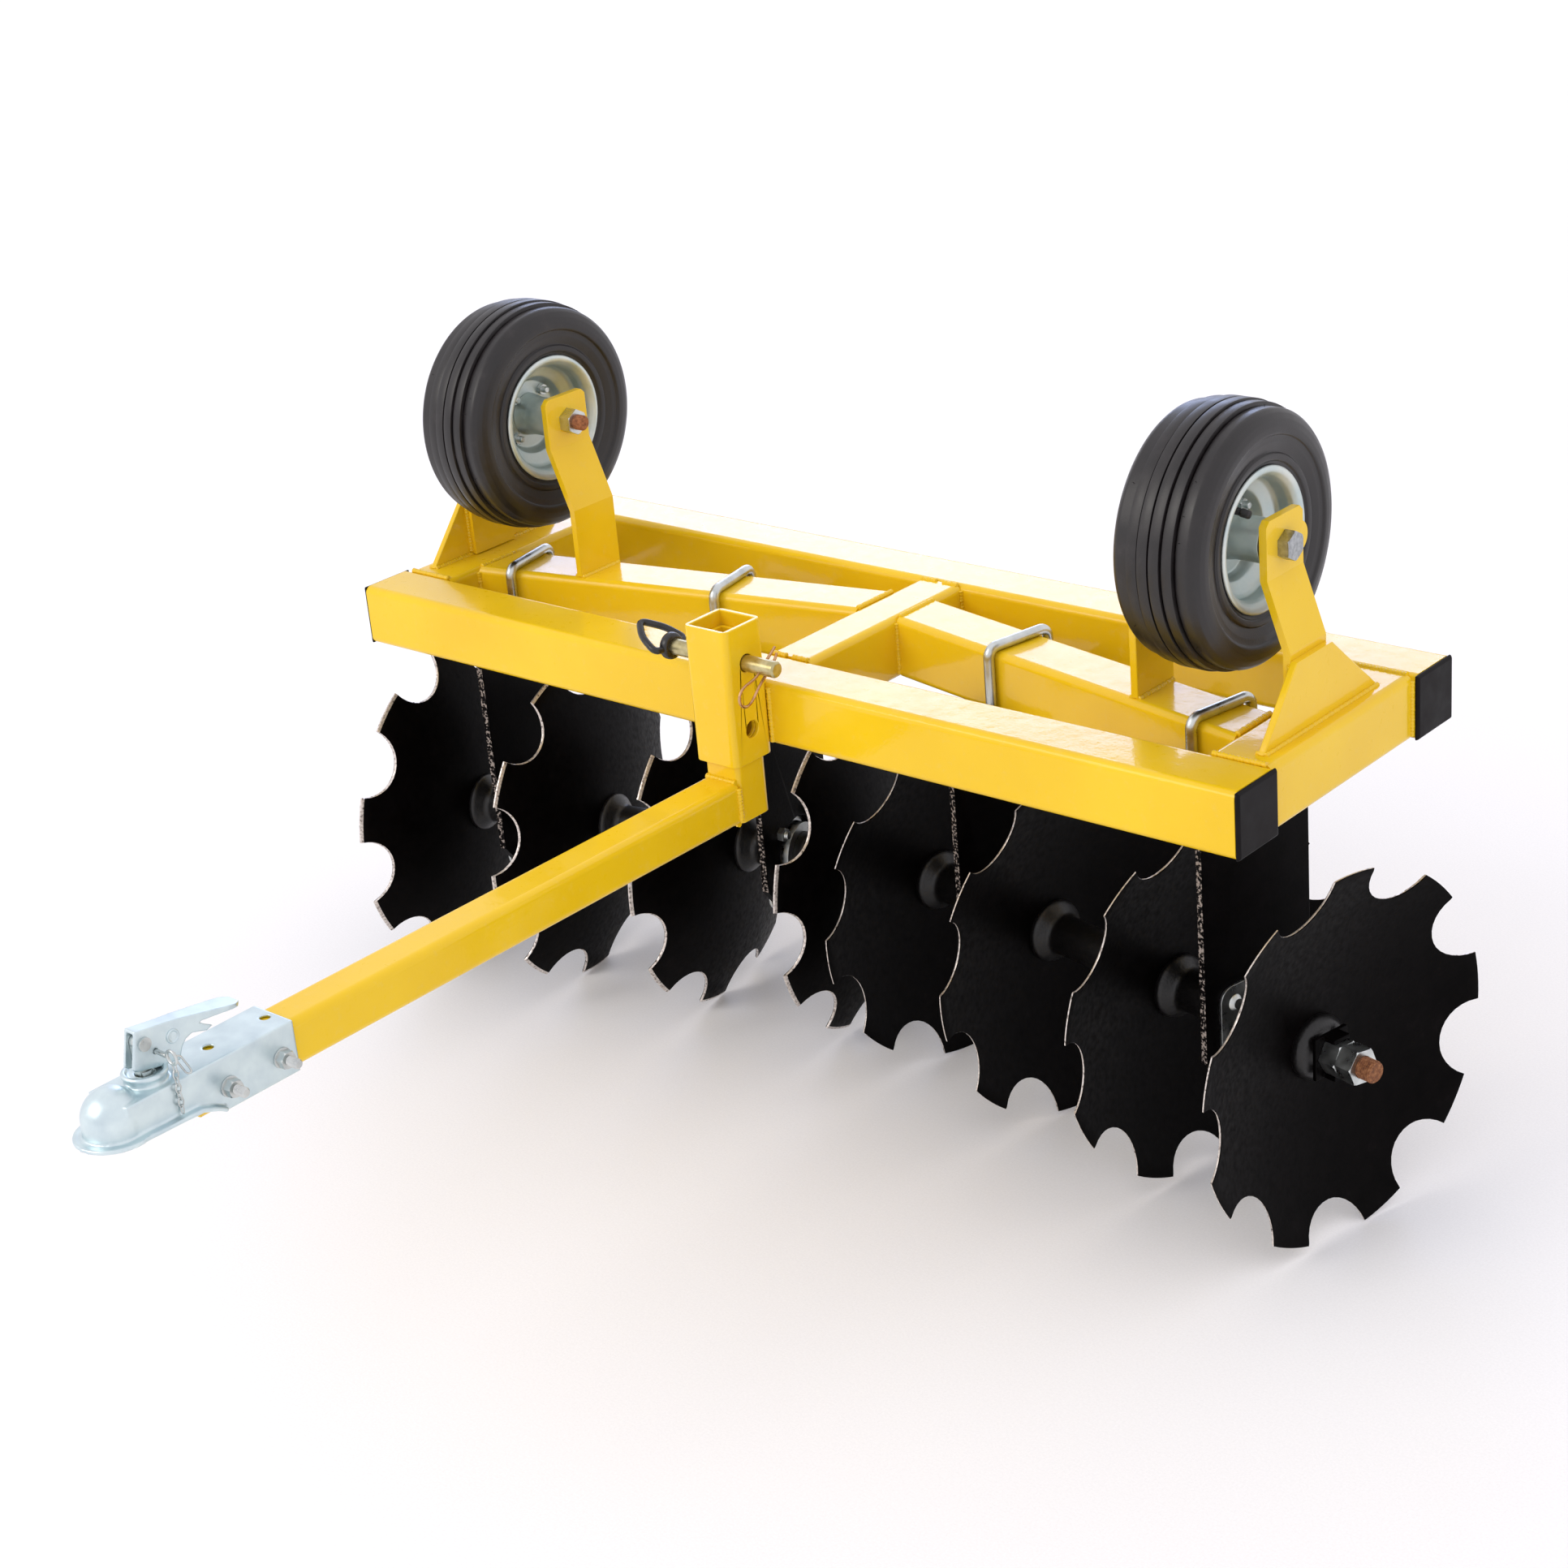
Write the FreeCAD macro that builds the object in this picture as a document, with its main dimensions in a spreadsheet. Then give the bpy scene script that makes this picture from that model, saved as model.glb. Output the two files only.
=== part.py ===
import FreeCAD, Part
import math
import os
import Sketcher

# Tow-behind notched disc harrow with flip-over transport wheels.
# Row frame: +Z up, +X to the right end of the frame, the drawbar points along -Y.
# Shapes are drawn with the frame's top at z = 0 and the front beam's front face at y = 0,
# and every placement adds the shift that puts the origin on the ground under the middle.

V = FreeCAD.Vector
ROT = FreeCAD.Rotation
doc = FreeCAD.newDocument("disc_harrow")
sheet = doc.addObject("Spreadsheet::Sheet", "dims")

DIMENSIONS = [
    ("frame_length", 1298), ("frame_depth", 434), ("beam_size", 76.2), ("tube_wall", 4.8),
    ("corner_radius", 9), ("cap_head", 5), ("side_inset", 3), ("centre_width", 63.5),
    ("gang_angle_deg", 11.4), ("gang_line_y", 277.5), ("axle_drop", 355), ("frame_top", 570),
    ("origin_back", 244.524),
    ("receiver_size", 63.5), ("receiver_wall", 6), ("receiver_rise", 80), ("receiver_drop", 83.5),
    ("drawbar_size", 50.8), ("drawbar_top", -104.4), ("drawbar_front", -838), ("post_top", 63),
    ("pin_radius", 9.5), ("pin_hole_radius", 10.3), ("pin_height", 35), ("spare_hole_height", -45),
    ("wheel_x", 519), ("wheel_y", 194), ("wheel_z", 192.6), ("tyre_radius", 144),
    ("tyre_width", 108), ("tyre_corner", 22), ("bead_radius", 68.5), ("rim_flange_radius", 79),
    ("axle_bolt_radius", 9.5), ("hub_radius", 24), ("hub_length", 127), ("hub_bore_radius", 9.55),
    ("arm_width", 70), ("arm_thick", 9), ("outer_arm_top_x", 592), ("outer_arm_foot_x", 618),
    ("inner_arm_top_x", 446), ("inner_arm_foot_x", 417), ("arm_rise", 226), ("arm_bend_high", 162),
    ("arm_bend_low", 88), ("gusset_thick", 8), ("gusset_front", 92), ("gusset_rear", 320),
    ("gusset_rise", 80), ("disc_radius", 215), ("disc_dish", 45), ("disc_thick", 4),
    ("disc_flat_radius", 45), ("disc_first", 37.5), ("disc_pitch", 206.7), ("notch_radius", 46),
    ("notch_centre", 221), ("notch_count", 9), ("axle_square", 25.4), ("axle_end", 748),
    ("thread_radius", 12.7), ("spool_radius", 24), ("flange_radius", 38), ("journal_radius", 25.95),
    ("bearing_bore", 26), ("bearing_side", 124), ("hanger_half", 82), ("hanger_thick", 9),
    ("hanger_inner", 171), ("hanger_outer", 571), ("hanger_below", 62), ("shelf_length", 88),
    ("ubolt_rod", 6.35), ("ubolt_reach", 45.5), ("channel_half", 29.3), ("channel_wall", 3.6),
    ("channel_top", -100.4), ("ball_y", -921), ("ball_z", -119), ("socket_radius", 26.4),
    ("dome_radius", 30), ("skirt_radius", 40), ("skirt_z", -138), ("coupler_rear", -720),
]


def fill_sheet():
    for row, (name, value) in enumerate(DIMENSIONS, start=1):
        sheet.set("A%d" % row, name)
        sheet.set("B%d" % row, str(value))
        sheet.setAlias("B%d" % row, name)
    doc.recompute()


fill_sheet()


def dim(name):
    """The value of a sheet dimension; a leading minus gives its negative."""
    if name.startswith("-"):
        return -float(sheet.get(name[1:]))
    return float(sheet.get(name))


def size_of(term):
    return dim(term) if isinstance(term, str) else float(term)


def bind(obj, prop, term):
    """Drives a property from the sheet when the term is a dimension's name, else sets the number."""
    if isinstance(term, str):
        sign = "-" if term.startswith("-") else ""
        obj.setExpression(prop, "%sdims.%s" % (sign, term.lstrip("-")))
    else:
        setattr(obj, prop, term)


SHIFT = V(0, dim("origin_back"), dim("frame_top"))
THETA = math.radians(dim("gang_angle_deg"))
PARTS = []


def keep(obj, label):
    obj.Label = label
    PARTS.append(obj)
    return obj


def frame_place(x=0, y=0, z=0, rotation=None):
    return FreeCAD.Placement(V(x, y, z) + SHIFT, rotation or ROT())


def gang_place(side, s=0.0, turn=0.0):
    """Local +Z runs outward along a gang's axle, local +X is up and turn is about the axle."""
    out = V(side * math.cos(THETA), -math.sin(THETA), 0)
    up = V(0, 0, 1)
    rotation = ROT(up, out.cross(up), out, "ZXY")
    base = V(0, dim("gang_line_y"), -dim("axle_drop")) + out * s
    return FreeCAD.Placement(base + SHIFT, rotation.multiply(ROT(V(0, 0, 1), turn)))


def body(label):
    return keep(doc.addObject("PartDesign::Body", label), label)


def plane_of(a_body, role):
    for feature in a_body.Origin.OriginFeatures:
        if feature.Role == role:
            return feature
    raise ValueError(role)


def sketch_on(a_body, role):
    sketch = a_body.newObject("Sketcher::SketchObject", a_body.Label + "_sketch")
    sketch.AttachmentSupport = [(plane_of(a_body, role), "")]
    sketch.MapMode = "FlatFace"
    return sketch


def pin_coordinate(sketch, edge, kind, axis_id, term):
    """Holds one coordinate of an edge's start point at a sheet dimension, a number or the axis."""
    if size_of(term) == 0:
        sketch.addConstraint(Sketcher.Constraint("PointOnObject", edge, 1, axis_id))
        return
    index = sketch.addConstraint(Sketcher.Constraint(kind, -1, 1, edge, 1, size_of(term)))
    if isinstance(term, str):
        sign = "-" if term.startswith("-") else ""
        sketch.setExpression("Constraints[%d]" % index, "%sdims.%s" % (sign, term.lstrip("-")))


def polygon(sketch, points):
    """A closed outline with every corner held by its two coordinates."""
    corners = [V(size_of(x), size_of(y), 0) for x, y in points]
    count = len(corners)
    edges = [sketch.addGeometry(Part.LineSegment(corners[i], corners[(i + 1) % count])) for i in range(count)]
    for i, edge in enumerate(edges):
        sketch.addConstraint(Sketcher.Constraint("Coincident", edge, 2, edges[(i + 1) % count], 1))
    for edge, (x, y) in zip(edges, points):
        pin_coordinate(sketch, edge, "DistanceX", -2, x)
        pin_coordinate(sketch, edge, "DistanceY", -1, y)


def pad(a_body, sketch, length, reverse=False, middle=False):
    feature = a_body.newObject("PartDesign::Pad", a_body.Label + "_pad")
    feature.Profile = sketch
    bind(feature, "Length", length)
    feature.Midplane = middle
    feature.Reversed = reverse
    sketch.Visibility = False
    return feature


def revolve(a_body, sketch, axis="V_Axis"):
    feature = a_body.newObject("PartDesign::Revolution", a_body.Label + "_turned")
    feature.Profile = sketch
    feature.ReferenceAxis = (sketch, [axis])
    feature.Angle = 360
    return feature


def primitive(a_body, kind, placement, **sizes):
    feature = a_body.newObject("PartDesign::" + kind, "%s_%s" % (a_body.Label, kind))
    for prop, term in sizes.items():
        bind(feature, prop, term)
    feature.Placement = placement
    return feature


def drill(a_body, radius, depth, base, direction):
    """A round hole of the given depth from base along direction."""
    turn = ROT(V(0, 0, 1), direction)
    return primitive(a_body, "SubtractiveCylinder", FreeCAD.Placement(base, turn), Radius=radius, Height=depth)


def round_long_edges(a_body, base, direction, radius):
    """Rounds the edges that run along direction."""
    doc.recompute()
    names = []
    for number, edge in enumerate(base.Shape.Edges, start=1):
        ends = [vertex.Point for vertex in edge.Vertexes]
        if len(ends) == 2 and (ends[1] - ends[0]).normalize().cross(direction).Length < 1e-4:
            names.append("Edge%d" % number)
    fillet = a_body.newObject("PartDesign::Fillet", a_body.Label + "_corners")
    fillet.Base = (base, names)
    bind(fillet, "Radius", radius)
    return fillet


def tube(label, outline, low, height, direction, wall, centre, section):
    """A straight rolled tube: its plan outline, its long direction and the middle of its bore."""
    item = body(label)
    sketch = sketch_on(item, "XY_Plane")
    sketch.AttachmentOffset = FreeCAD.Placement(V(0, 0, low), ROT())
    polygon(sketch, outline)
    solid = pad(item, sketch, height)
    round_long_edges(item, solid, direction, "corner_radius")
    wide, high = (size - 2 * wall for size in section)
    reach = 1600
    across = V(0, 0, 1).cross(direction)
    if across.Length < 0.5:
        across = V(1, 0, 0)
    across.normalize()
    up = direction.cross(across)
    corner = centre - direction * (reach / 2) - across * (wide / 2) - up * (high / 2)
    turn = ROT(across, up, direction, "ZXY")
    primitive(item, "SubtractiveBox", FreeCAD.Placement(corner, turn), Length=wide, Width=high, Height=reach)
    item.Placement = frame_place()
    return item


def beams():
    """Front and rear beams of one square tube size, with moulded plugs in their open ends."""
    half = dim("frame_length") / 2
    size = dim("beam_size")
    wall = dim("tube_wall")
    for label, front in (("front_beam", 0.0), ("rear_beam", dim("frame_depth") - size)):
        outline = [(-half, front), (half, front), (half, front + size), (-half, front + size)]
        centre = V(0, front + size / 2, -size / 2)
        tube(label, outline, -size, "beam_size", V(1, 0, 0), wall, centre, (size, size))


def end_caps():
    """Four identical ribbed plugs: a chamfered head on the tube's end and a spigot in its bore."""
    half = dim("frame_length") / 2
    size = dim("beam_size")
    head = dim("cap_head")
    inner = size - 2 * dim("tube_wall") - 1.2
    caps = []
    for side in (-1, 1):
        for front in (0.0, dim("frame_depth") - size):
            face = side * half
            plate = Part.makeBox(head, size - 1, size - 1, V(0, -size / 2 + 0.5, -size / 2 + 0.5))
            outer = [e for e in plate.Edges if e.CenterOfMass.x > head - 0.01]
            plate = plate.makeChamfer(2.5, outer)
            spigot = Part.makeBox(22, inner, inner, V(-22, -inner / 2, -inner / 2))
            hollow = Part.makeBox(20, inner - 6, inner - 6, V(-22, -inner / 2 + 3, -inner / 2 + 3))
            cap = plate.fuse(spigot).removeSplitter().cut(hollow)
            if side < 0:
                cap = cap.mirror(V(), V(1, 0, 0))
            cap.translate(V(face, front + size / 2, -size / 2))
            caps.append(cap)
    compound_part("end_caps", caps)


def compound_part(label, solids, placement=None):
    """Several separate solids that share one node."""
    item = doc.addObject("Part::Feature", label)
    item.Shape = Part.makeCompound(solids)
    item.Placement = placement or frame_place()
    return keep(item, label)


def side_tubes():
    half = dim("frame_length") / 2 - dim("side_inset")
    size = dim("beam_size")
    rear = dim("frame_depth") - size
    for label, side in (("side_tube_left", -1), ("side_tube_right", 1)):
        a, b = sorted((side * half, side * (half - size)))
        outline = [(a, size), (b, size), (b, rear), (a, rear)]
        centre = V((a + b) / 2, size, -size / 2)
        tube(label, outline, -size, "beam_size", V(0, 1, 0), dim("tube_wall"), centre, (size, size))


def centre_tube():
    half = dim("centre_width") / 2
    size = dim("beam_size")
    rear = dim("frame_depth") - size
    outline = [(-half, size), (half, size), (half, rear), (-half, rear)]
    centre = V(0, size, -size / 2)
    tube("centre_tube", outline, -size, "beam_size", V(0, 1, 0), dim("tube_wall"), centre, (2 * half, size))


def gang_tubes():
    """Slanted tubes between the side tubes and the centre tube that carry the gangs."""
    size = dim("beam_size")
    inner = dim("centre_width") / 2
    outer = dim("frame_length") / 2 - dim("side_inset") - size
    slope = math.tan(THETA)
    across = size / 2 / math.cos(THETA)
    for label, side in (("gang_tube_left", -1), ("gang_tube_right", 1)):
        def line(x):
            return dim("gang_line_y") - x * slope
        outline = [(side * inner, line(inner) - across), (side * outer, line(outer) - across),
                   (side * outer, line(outer) + across), (side * inner, line(inner) + across)]
        direction = V(side * math.cos(THETA), -math.sin(THETA), 0)
        centre = V(0, dim("gang_line_y"), -size / 2)
        tube(label, outline, -size, "beam_size", direction, dim("tube_wall"), centre, (size, size))


def receiver_and_drawbar():
    """A socket welded to the front beam, and the L-shaped drawbar whose post stands in it."""
    r = dim("receiver_size")
    axis_y = -r / 2
    height = dim("receiver_rise") + dim("receiver_drop")
    outline = [(-r / 2, -r), (r / 2, -r), (r / 2, 0), (-r / 2, 0)]
    socket = tube("receiver_tube", outline, -dim("receiver_drop"), height, V(0, 0, 1),
                  dim("receiver_wall"), V(0, axis_y, 0), (r, r))
    d = dim("drawbar_size")
    top = dim("drawbar_top")
    outline = [(-d / 2, axis_y - d / 2), (d / 2, axis_y - d / 2), (d / 2, axis_y + d / 2), (-d / 2, axis_y + d / 2)]
    post = tube("drawbar_post", outline, top - d, dim("post_top") - top + d, V(0, 0, 1), 5, V(0, axis_y, 0), (d, d))
    for item in (socket, post):
        for level in ("pin_height", "spare_hole_height"):
            drill(item, "pin_hole_radius", 100, V(-50, axis_y, dim(level)), V(1, 0, 0))
    back = axis_y - d / 2
    front = dim("drawbar_front")
    outline = [(-d / 2, front), (d / 2, front), (d / 2, back), (-d / 2, back)]
    arm = tube("drawbar_arm", outline, top - d, "drawbar_size", V(0, 1, 0), 5, V(0, front, top - d / 2), (d, d))
    for y in BOLT_Y:
        drill(arm, 5.6, 80, V(-40, y, BOLT_Z), V(1, 0, 0))


BOLT_Y = (-740, -806)
BOLT_Z = -133


def wheel_arms():
    """Joggled flat bars: the outer pair stand on gussets, the inner pair on the gang tubes."""
    t = dim("arm_thick")
    high, low, rise = dim("arm_bend_high"), dim("arm_bend_low"), dim("arm_rise")
    plans = (("outer", dim("outer_arm_top_x") - t, dim("outer_arm_foot_x") - t, 1.0),
             ("inner", dim("inner_arm_top_x"), dim("inner_arm_foot_x"), 0.0))
    for kind, top, foot, base in plans:
        for name, side in (("left", -1), ("right", 1)):
            item = body("wheel_arm_%s_%s" % (kind, name))
            sketch = sketch_on(item, "XZ_Plane")
            run = [(foot, base), (foot, low), (top, high), (top, rise)]
            back = [(x + t, z) for x, z in reversed(run)]
            polygon(sketch, [(side * x, z) for x, z in run + back])
            bar = pad(item, sketch, "arm_width", middle=True)
            doc.recompute()
            corners = []
            for number, edge in enumerate(bar.Shape.Edges, start=1):
                mid = edge.CenterOfMass
                if mid.z > rise - 0.01 and abs(abs(mid.y) - dim("arm_width") / 2) < 0.01:
                    corners.append("Edge%d" % number)
            tip = item.newObject("PartDesign::Chamfer", item.Label + "_tip")
            tip.Base = (bar, corners)
            tip.Size = 6
            outward = ROT(V(0, 0, 1), V(side, 0, 0))
            if kind == "outer":
                lug = V(side * top, dim("arm_width") / 2 - 8, dim("wheel_z"))
                primitive(item, "AdditiveCylinder", FreeCAD.Placement(lug, outward), Radius=17, Height="arm_thick")
            drill(item, 9.9, 60, V(side * (top - 20), 0, dim("wheel_z")), V(side, 0, 0))
            item.Placement = frame_place(y=dim("wheel_y"))


def gussets():
    """Upright trapezium plates welded along the outer edge of each side tube's top."""
    for name, side in (("left", -1), ("right", 1)):
        item = body("wheel_gusset_" + name)
        sketch = sketch_on(item, "YZ_Plane")
        half = dim("arm_width") / 2
        middle = dim("wheel_y")
        polygon(sketch, [("gusset_front", 0), ("gusset_rear", 0), (middle + half, "gusset_rise"),
                         (middle - half, "gusset_rise")])
        pad(item, sketch, "gusset_thick", reverse=side < 0)
        item.Placement = frame_place(x=side * dim("outer_arm_foot_x"))


def hexagon(across_flats, height, base, direction, bore=0.0):
    """A hexagonal nut or bolt head with chamfered corners, standing on base."""
    radius = across_flats / math.sqrt(3)
    points = [V(radius * math.cos(math.radians(60 * k)), radius * math.sin(math.radians(60 * k)), 0) for k in range(7)]
    prism = Part.Face(Part.makePolygon(points)).extrude(V(0, 0, height))
    trim = Part.makeCone(radius * 0.93 + height, radius * 0.93, height)
    prism = prism.common(trim)
    if bore:
        prism = prism.cut(Part.makeCylinder(bore, height + 2, V(0, 0, -1)))
    prism.Placement = FreeCAD.Placement(base, ROT(V(0, 0, 1), direction))
    return prism


def rod(radius, base, end):
    return Part.makeCylinder(radius, (end - base).Length, base, end - base)


def wheel_axles():
    """Hex bolts pushed in from outside through both arms and the hub, with a lock nut inside."""
    y, z = dim("wheel_y"), dim("wheel_z")
    radius = dim("axle_bolt_radius")
    outer, inner = dim("outer_arm_top_x"), dim("inner_arm_top_x")
    bolts, nuts = [], []
    for side in (-1, 1):
        out = V(side, 0, 0)
        shank = rod(radius, V(side * (inner - 29), y, z), V(side * outer, y, z))
        tip = max(shank.Edges, key=lambda e: -side * e.CenterOfMass.x)
        shank = shank.makeChamfer(2, [tip])
        bolts.append(shank.fuse(hexagon(28.6, 13, V(side * outer, y, z), out)))
        nuts.append(hexagon(28.6, 17, V(side * inner, y, z), out * -1, radius + 0.02))
    compound_part("wheel_axle_bolts", bolts)
    compound_part("wheel_axle_nuts", nuts)


def turned(label, outline, placement):
    """A body turned about local Z from a half outline of (radius, height) corners."""
    item = body(label)
    sketch = sketch_on(item, "XZ_Plane")
    polygon(sketch, outline)
    revolve(item, sketch)
    item.Placement = placement
    return item


def wheels():
    """Ribbed pneumatic tyres on two-piece stamped rims that turn on hubs with ball bearings."""
    w = dim("tyre_width") / 2
    radius = dim("tyre_radius")
    c = dim("tyre_corner")
    bead = dim("bead_radius")
    groove = 4.0
    for name, side in (("left", -1), ("right", 1)):
        placement = frame_place(side * dim("wheel_x"), dim("wheel_y"), dim("wheel_z"), ROT(V(0, 1, 0), 90))
        outer = [(bead, 38), (bead + 14, 46), (radius - 45, w), (radius - c, w), (radius - 8, w - 6),
                 (radius - 1.5, w - 14)]
        for k in (-2, -1, 0, 1, 2):
            at = -k * 14.5
            outer += [(radius, at + 2.5), (radius - groove, at + 1.6), (radius - groove, at - 1.6), (radius, at - 2.5)]
        outer += [(radius - 1.5, -w + 14), (radius - 8, -w + 6), (radius - c, -w), (radius - 45, -w),
                  (bead + 14, -46), (bead, -38)]
        inside = [(bead, -30), (bead + 16, -38), (radius - 40, -w + 8), (radius - 22, -w + 14), (radius - 13, -24),
                  (radius - 12, 24), (radius - 22, w - 14), (radius - 40, w - 8), (bead + 16, 38), (bead, 30)]
        turned("tyre_" + name, outer + inside, placement)
        compound_part("rim_halves_" + name, rim_halves(), placement)
        hub(name, placement)


def rim_halves():
    """Two identical pressed dishes, back to back; each has a bead seat, a curled flange and a hub hole."""
    bead = dim("bead_radius")
    flange = dim("rim_flange_radius")
    hub_seat = dim("hub_radius")
    points = [(hub_seat, 0), (46, 0), (50, 12), (58, 16), (bead - 0.3, 24), (bead - 0.3, 38), (flange - 4, 46.5),
              (flange, 45.5), (flange - 1, 49), (flange - 5, 50), (bead - 4, 40.5), (bead - 4, 27), (56, 19),
              (46, 15.5), (43, 3.4), (hub_seat, 3.4)]
    wire = Part.makePolygon([V(r, 0, h) for r, h in points + points[:1]])
    half = Part.Face(wire).revolve(V(), V(0, 0, 1), 360)
    holes = [rod(4.3, V(36 * math.cos(a), 36 * math.sin(a), -5), V(36 * math.cos(a), 36 * math.sin(a), 8))
             for a in (math.radians(45 + 90 * k) for k in range(4))]
    for hole in holes:
        half = half.cut(hole)
    other = half.copy()
    other.rotate(V(), V(1, 0, 0), 180)
    return [half, other]


def hub(name, placement):
    """The hub tube with its two shielded bearings, bored to run on the axle bolt."""
    item = body("wheel_hub_" + name)
    half = dim("hub_length") / 2
    sketch = sketch_on(item, "XZ_Plane")
    bore = dim("hub_bore_radius")
    shoulder, shield = half - 9, half - 7
    polygon(sketch, [(bore, -half), (14, -half), (14, -shield), (22, -shield), ("hub_radius", -shoulder),
                     ("hub_radius", shoulder), (22, shield), (14, shield), (14, half), (bore, half)])
    revolve(item, sketch)
    item.Placement = placement


def disc_blade(label):
    """A dished blade with nine round notches and a square hole; the hollow side faces outward."""
    item = body(label)
    flat, radius = dim("disc_flat_radius"), dim("disc_radius")
    dish, thick = dim("disc_dish"), dim("disc_thick")
    rise = (radius ** 2 - flat ** 2) / (2 * dish)
    sketch = sketch_on(item, "XZ_Plane")
    mid = (flat + radius) / 2
    curve = [(flat, 0), (mid, (mid ** 2 - flat ** 2) / (2 * rise)), (radius, dish)]
    inner = sketch.addGeometry(Part.LineSegment(V(0, 0, 0), V(flat, 0, 0)))
    low = sketch.addGeometry(Part.Arc(*[V(r, h, 0) for r, h in curve]))
    rim = sketch.addGeometry(Part.LineSegment(V(radius, dish, 0), V(radius, dish + thick, 0)))
    top = sketch.addGeometry(Part.Arc(*[V(r, h + thick, 0) for r, h in curve]))
    face = sketch.addGeometry(Part.LineSegment(V(flat, thick, 0), V(0, thick, 0)))
    middle = sketch.addGeometry(Part.LineSegment(V(0, thick, 0), V(0, 0, 0)))
    for edge, end in ((inner, 1), (middle, 2)):
        sketch.addConstraint(Sketcher.Constraint("Coincident", edge, end, -1, 1))
    rim_x = sketch.addConstraint(Sketcher.Constraint("DistanceX", -1, 1, rim, 1, radius))
    sketch.setExpression("Constraints[%d]" % rim_x, "dims.disc_radius")
    flat_x = sketch.addConstraint(Sketcher.Constraint("DistanceX", inner, 1, inner, 2, flat))
    sketch.setExpression("Constraints[%d]" % flat_x, "dims.disc_flat_radius")
    revolve(item, sketch)
    notch = primitive(item, "SubtractiveCylinder", FreeCAD.Placement(V(dim("notch_centre"), 0, 0), ROT()),
                      Radius="notch_radius", Height=90)
    doc.recompute()
    ring = item.newObject("PartDesign::PolarPattern", label + "_notches")
    ring.Originals = [notch]
    ring.Axis = (sketch, ["V_Axis"])
    ring.Angle = 360
    bind(ring, "Occurrences", "notch_count")
    item.Tip = ring
    half = dim("axle_square") / 2 + 0.4
    primitive(item, "SubtractiveBox", FreeCAD.Placement(V(-half, -half, -5), ROT()),
              Length=2 * half, Width=2 * half, Height=20)
    return item


def gang_discs():
    """Four blades a gang. Each sits a quarter turn or more round the square axle from the next."""
    quarter_turns = {"left": (0, 3, 2, 0), "right": (2, 2, 0, 0)}
    for name, side in (("left", -1), ("right", 1)):
        for number, quarters in enumerate(quarter_turns[name]):
            item = disc_blade("disc_%s_%d" % (name, number + 1))
            turn = -side * (FIRST_NOTCH_DEG + 90 * quarters)
            item.Placement = gang_place(side, dim("disc_first") + dim("disc_pitch") * number, turn)


FIRST_NOTCH_DEG = 24.5  # from straight up, towards the rear


def axle_turn(side):
    """How far the square axle is turned from upright."""
    return -side * FIRST_NOTCH_DEG


def gang_axles():
    """Square bars with a forged head at the inner end and a turned, threaded outer end."""
    a = dim("axle_square")
    for name, side in (("left", -1), ("right", 1)):
        item = body("gang_axle_" + name)
        start = 20
        shoulder = 684
        primitive(item, "AdditiveBox", FreeCAD.Placement(V(-a / 2, -a / 2, start), ROT()),
                  Length="axle_square", Width="axle_square", Height=shoulder - start)
        primitive(item, "AdditiveCylinder", FreeCAD.Placement(V(0, 0, start - 14), ROT()), Radius=24, Height=14)
        primitive(item, "AdditiveCylinder", FreeCAD.Placement(V(0, 0, shoulder), ROT()),
                  Radius="thread_radius", Height=dim("axle_end") - shoulder)
        item.Placement = gang_place(side, turn=axle_turn(side))


def spool(start, end):
    """A cast spacer with a flared flange against the disc at each end."""
    flange, waist = dim("flange_radius"), dim("spool_radius")
    return [(start, flange), (start + 5, flange), (start + 16, waist), (end - 16, waist), (end - 5, flange),
            (end, flange)]


def half_spool(disc_end, middle):
    """A spacer with a flared flange at its disc and a plain journal at the middle of a bearing."""
    flange, waist, journal = dim("flange_radius"), dim("spool_radius"), dim("journal_radius")
    way = 1 if middle > disc_end else -1
    outline = [(disc_end, flange), (disc_end + way * 5, flange), (disc_end + way * 16, waist),
               (middle - way * 32, waist), (middle - way * 32, journal), (middle, journal)]
    return outline[::way]


def turn_profile(outline):
    """A solid of revolution about Z from (height, radius) corners, with the square axle's hole."""
    half = dim("axle_square") / 2 + 0.4
    first, last = outline[0][0], outline[-1][0]
    points = [V(0, 0, first)] + [V(r, 0, h) for h, r in outline] + [V(0, 0, last), V(0, 0, first)]
    solid = Part.Face(Part.makePolygon(points)).revolve(V(), V(0, 0, 1), 360)
    hole = Part.makeBox(2 * half, 2 * half, last - first + 4, V(-half, -half, first - 2))
    return solid.cut(hole)


def gang_spools():
    """Inner bumper washer and five spools a gang; spools meet in pairs inside each bearing."""
    first, pitch, thick = dim("disc_first"), dim("disc_pitch"), dim("disc_thick")
    hubs = [first + pitch * k for k in range(4)]
    seat = 13.0
    for name, side in (("left", -1), ("right", 1)):
        solids = [turn_profile([(20, 30), (24, 38), (hubs[0], 38)])]
        for inner, outer, at in ((hubs[0], hubs[1], "hanger_inner"), (hubs[2], hubs[3], "hanger_outer")):
            middle = dim(at) + seat
            solids.append(turn_profile(half_spool(inner + thick, middle)))
            solids.append(turn_profile(half_spool(outer, middle)))
        solids.append(turn_profile(spool(hubs[1] + thick, hubs[2])))
        compound_part("gang_spools_" + name, solids, gang_place(side, turn=axle_turn(side)))


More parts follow.
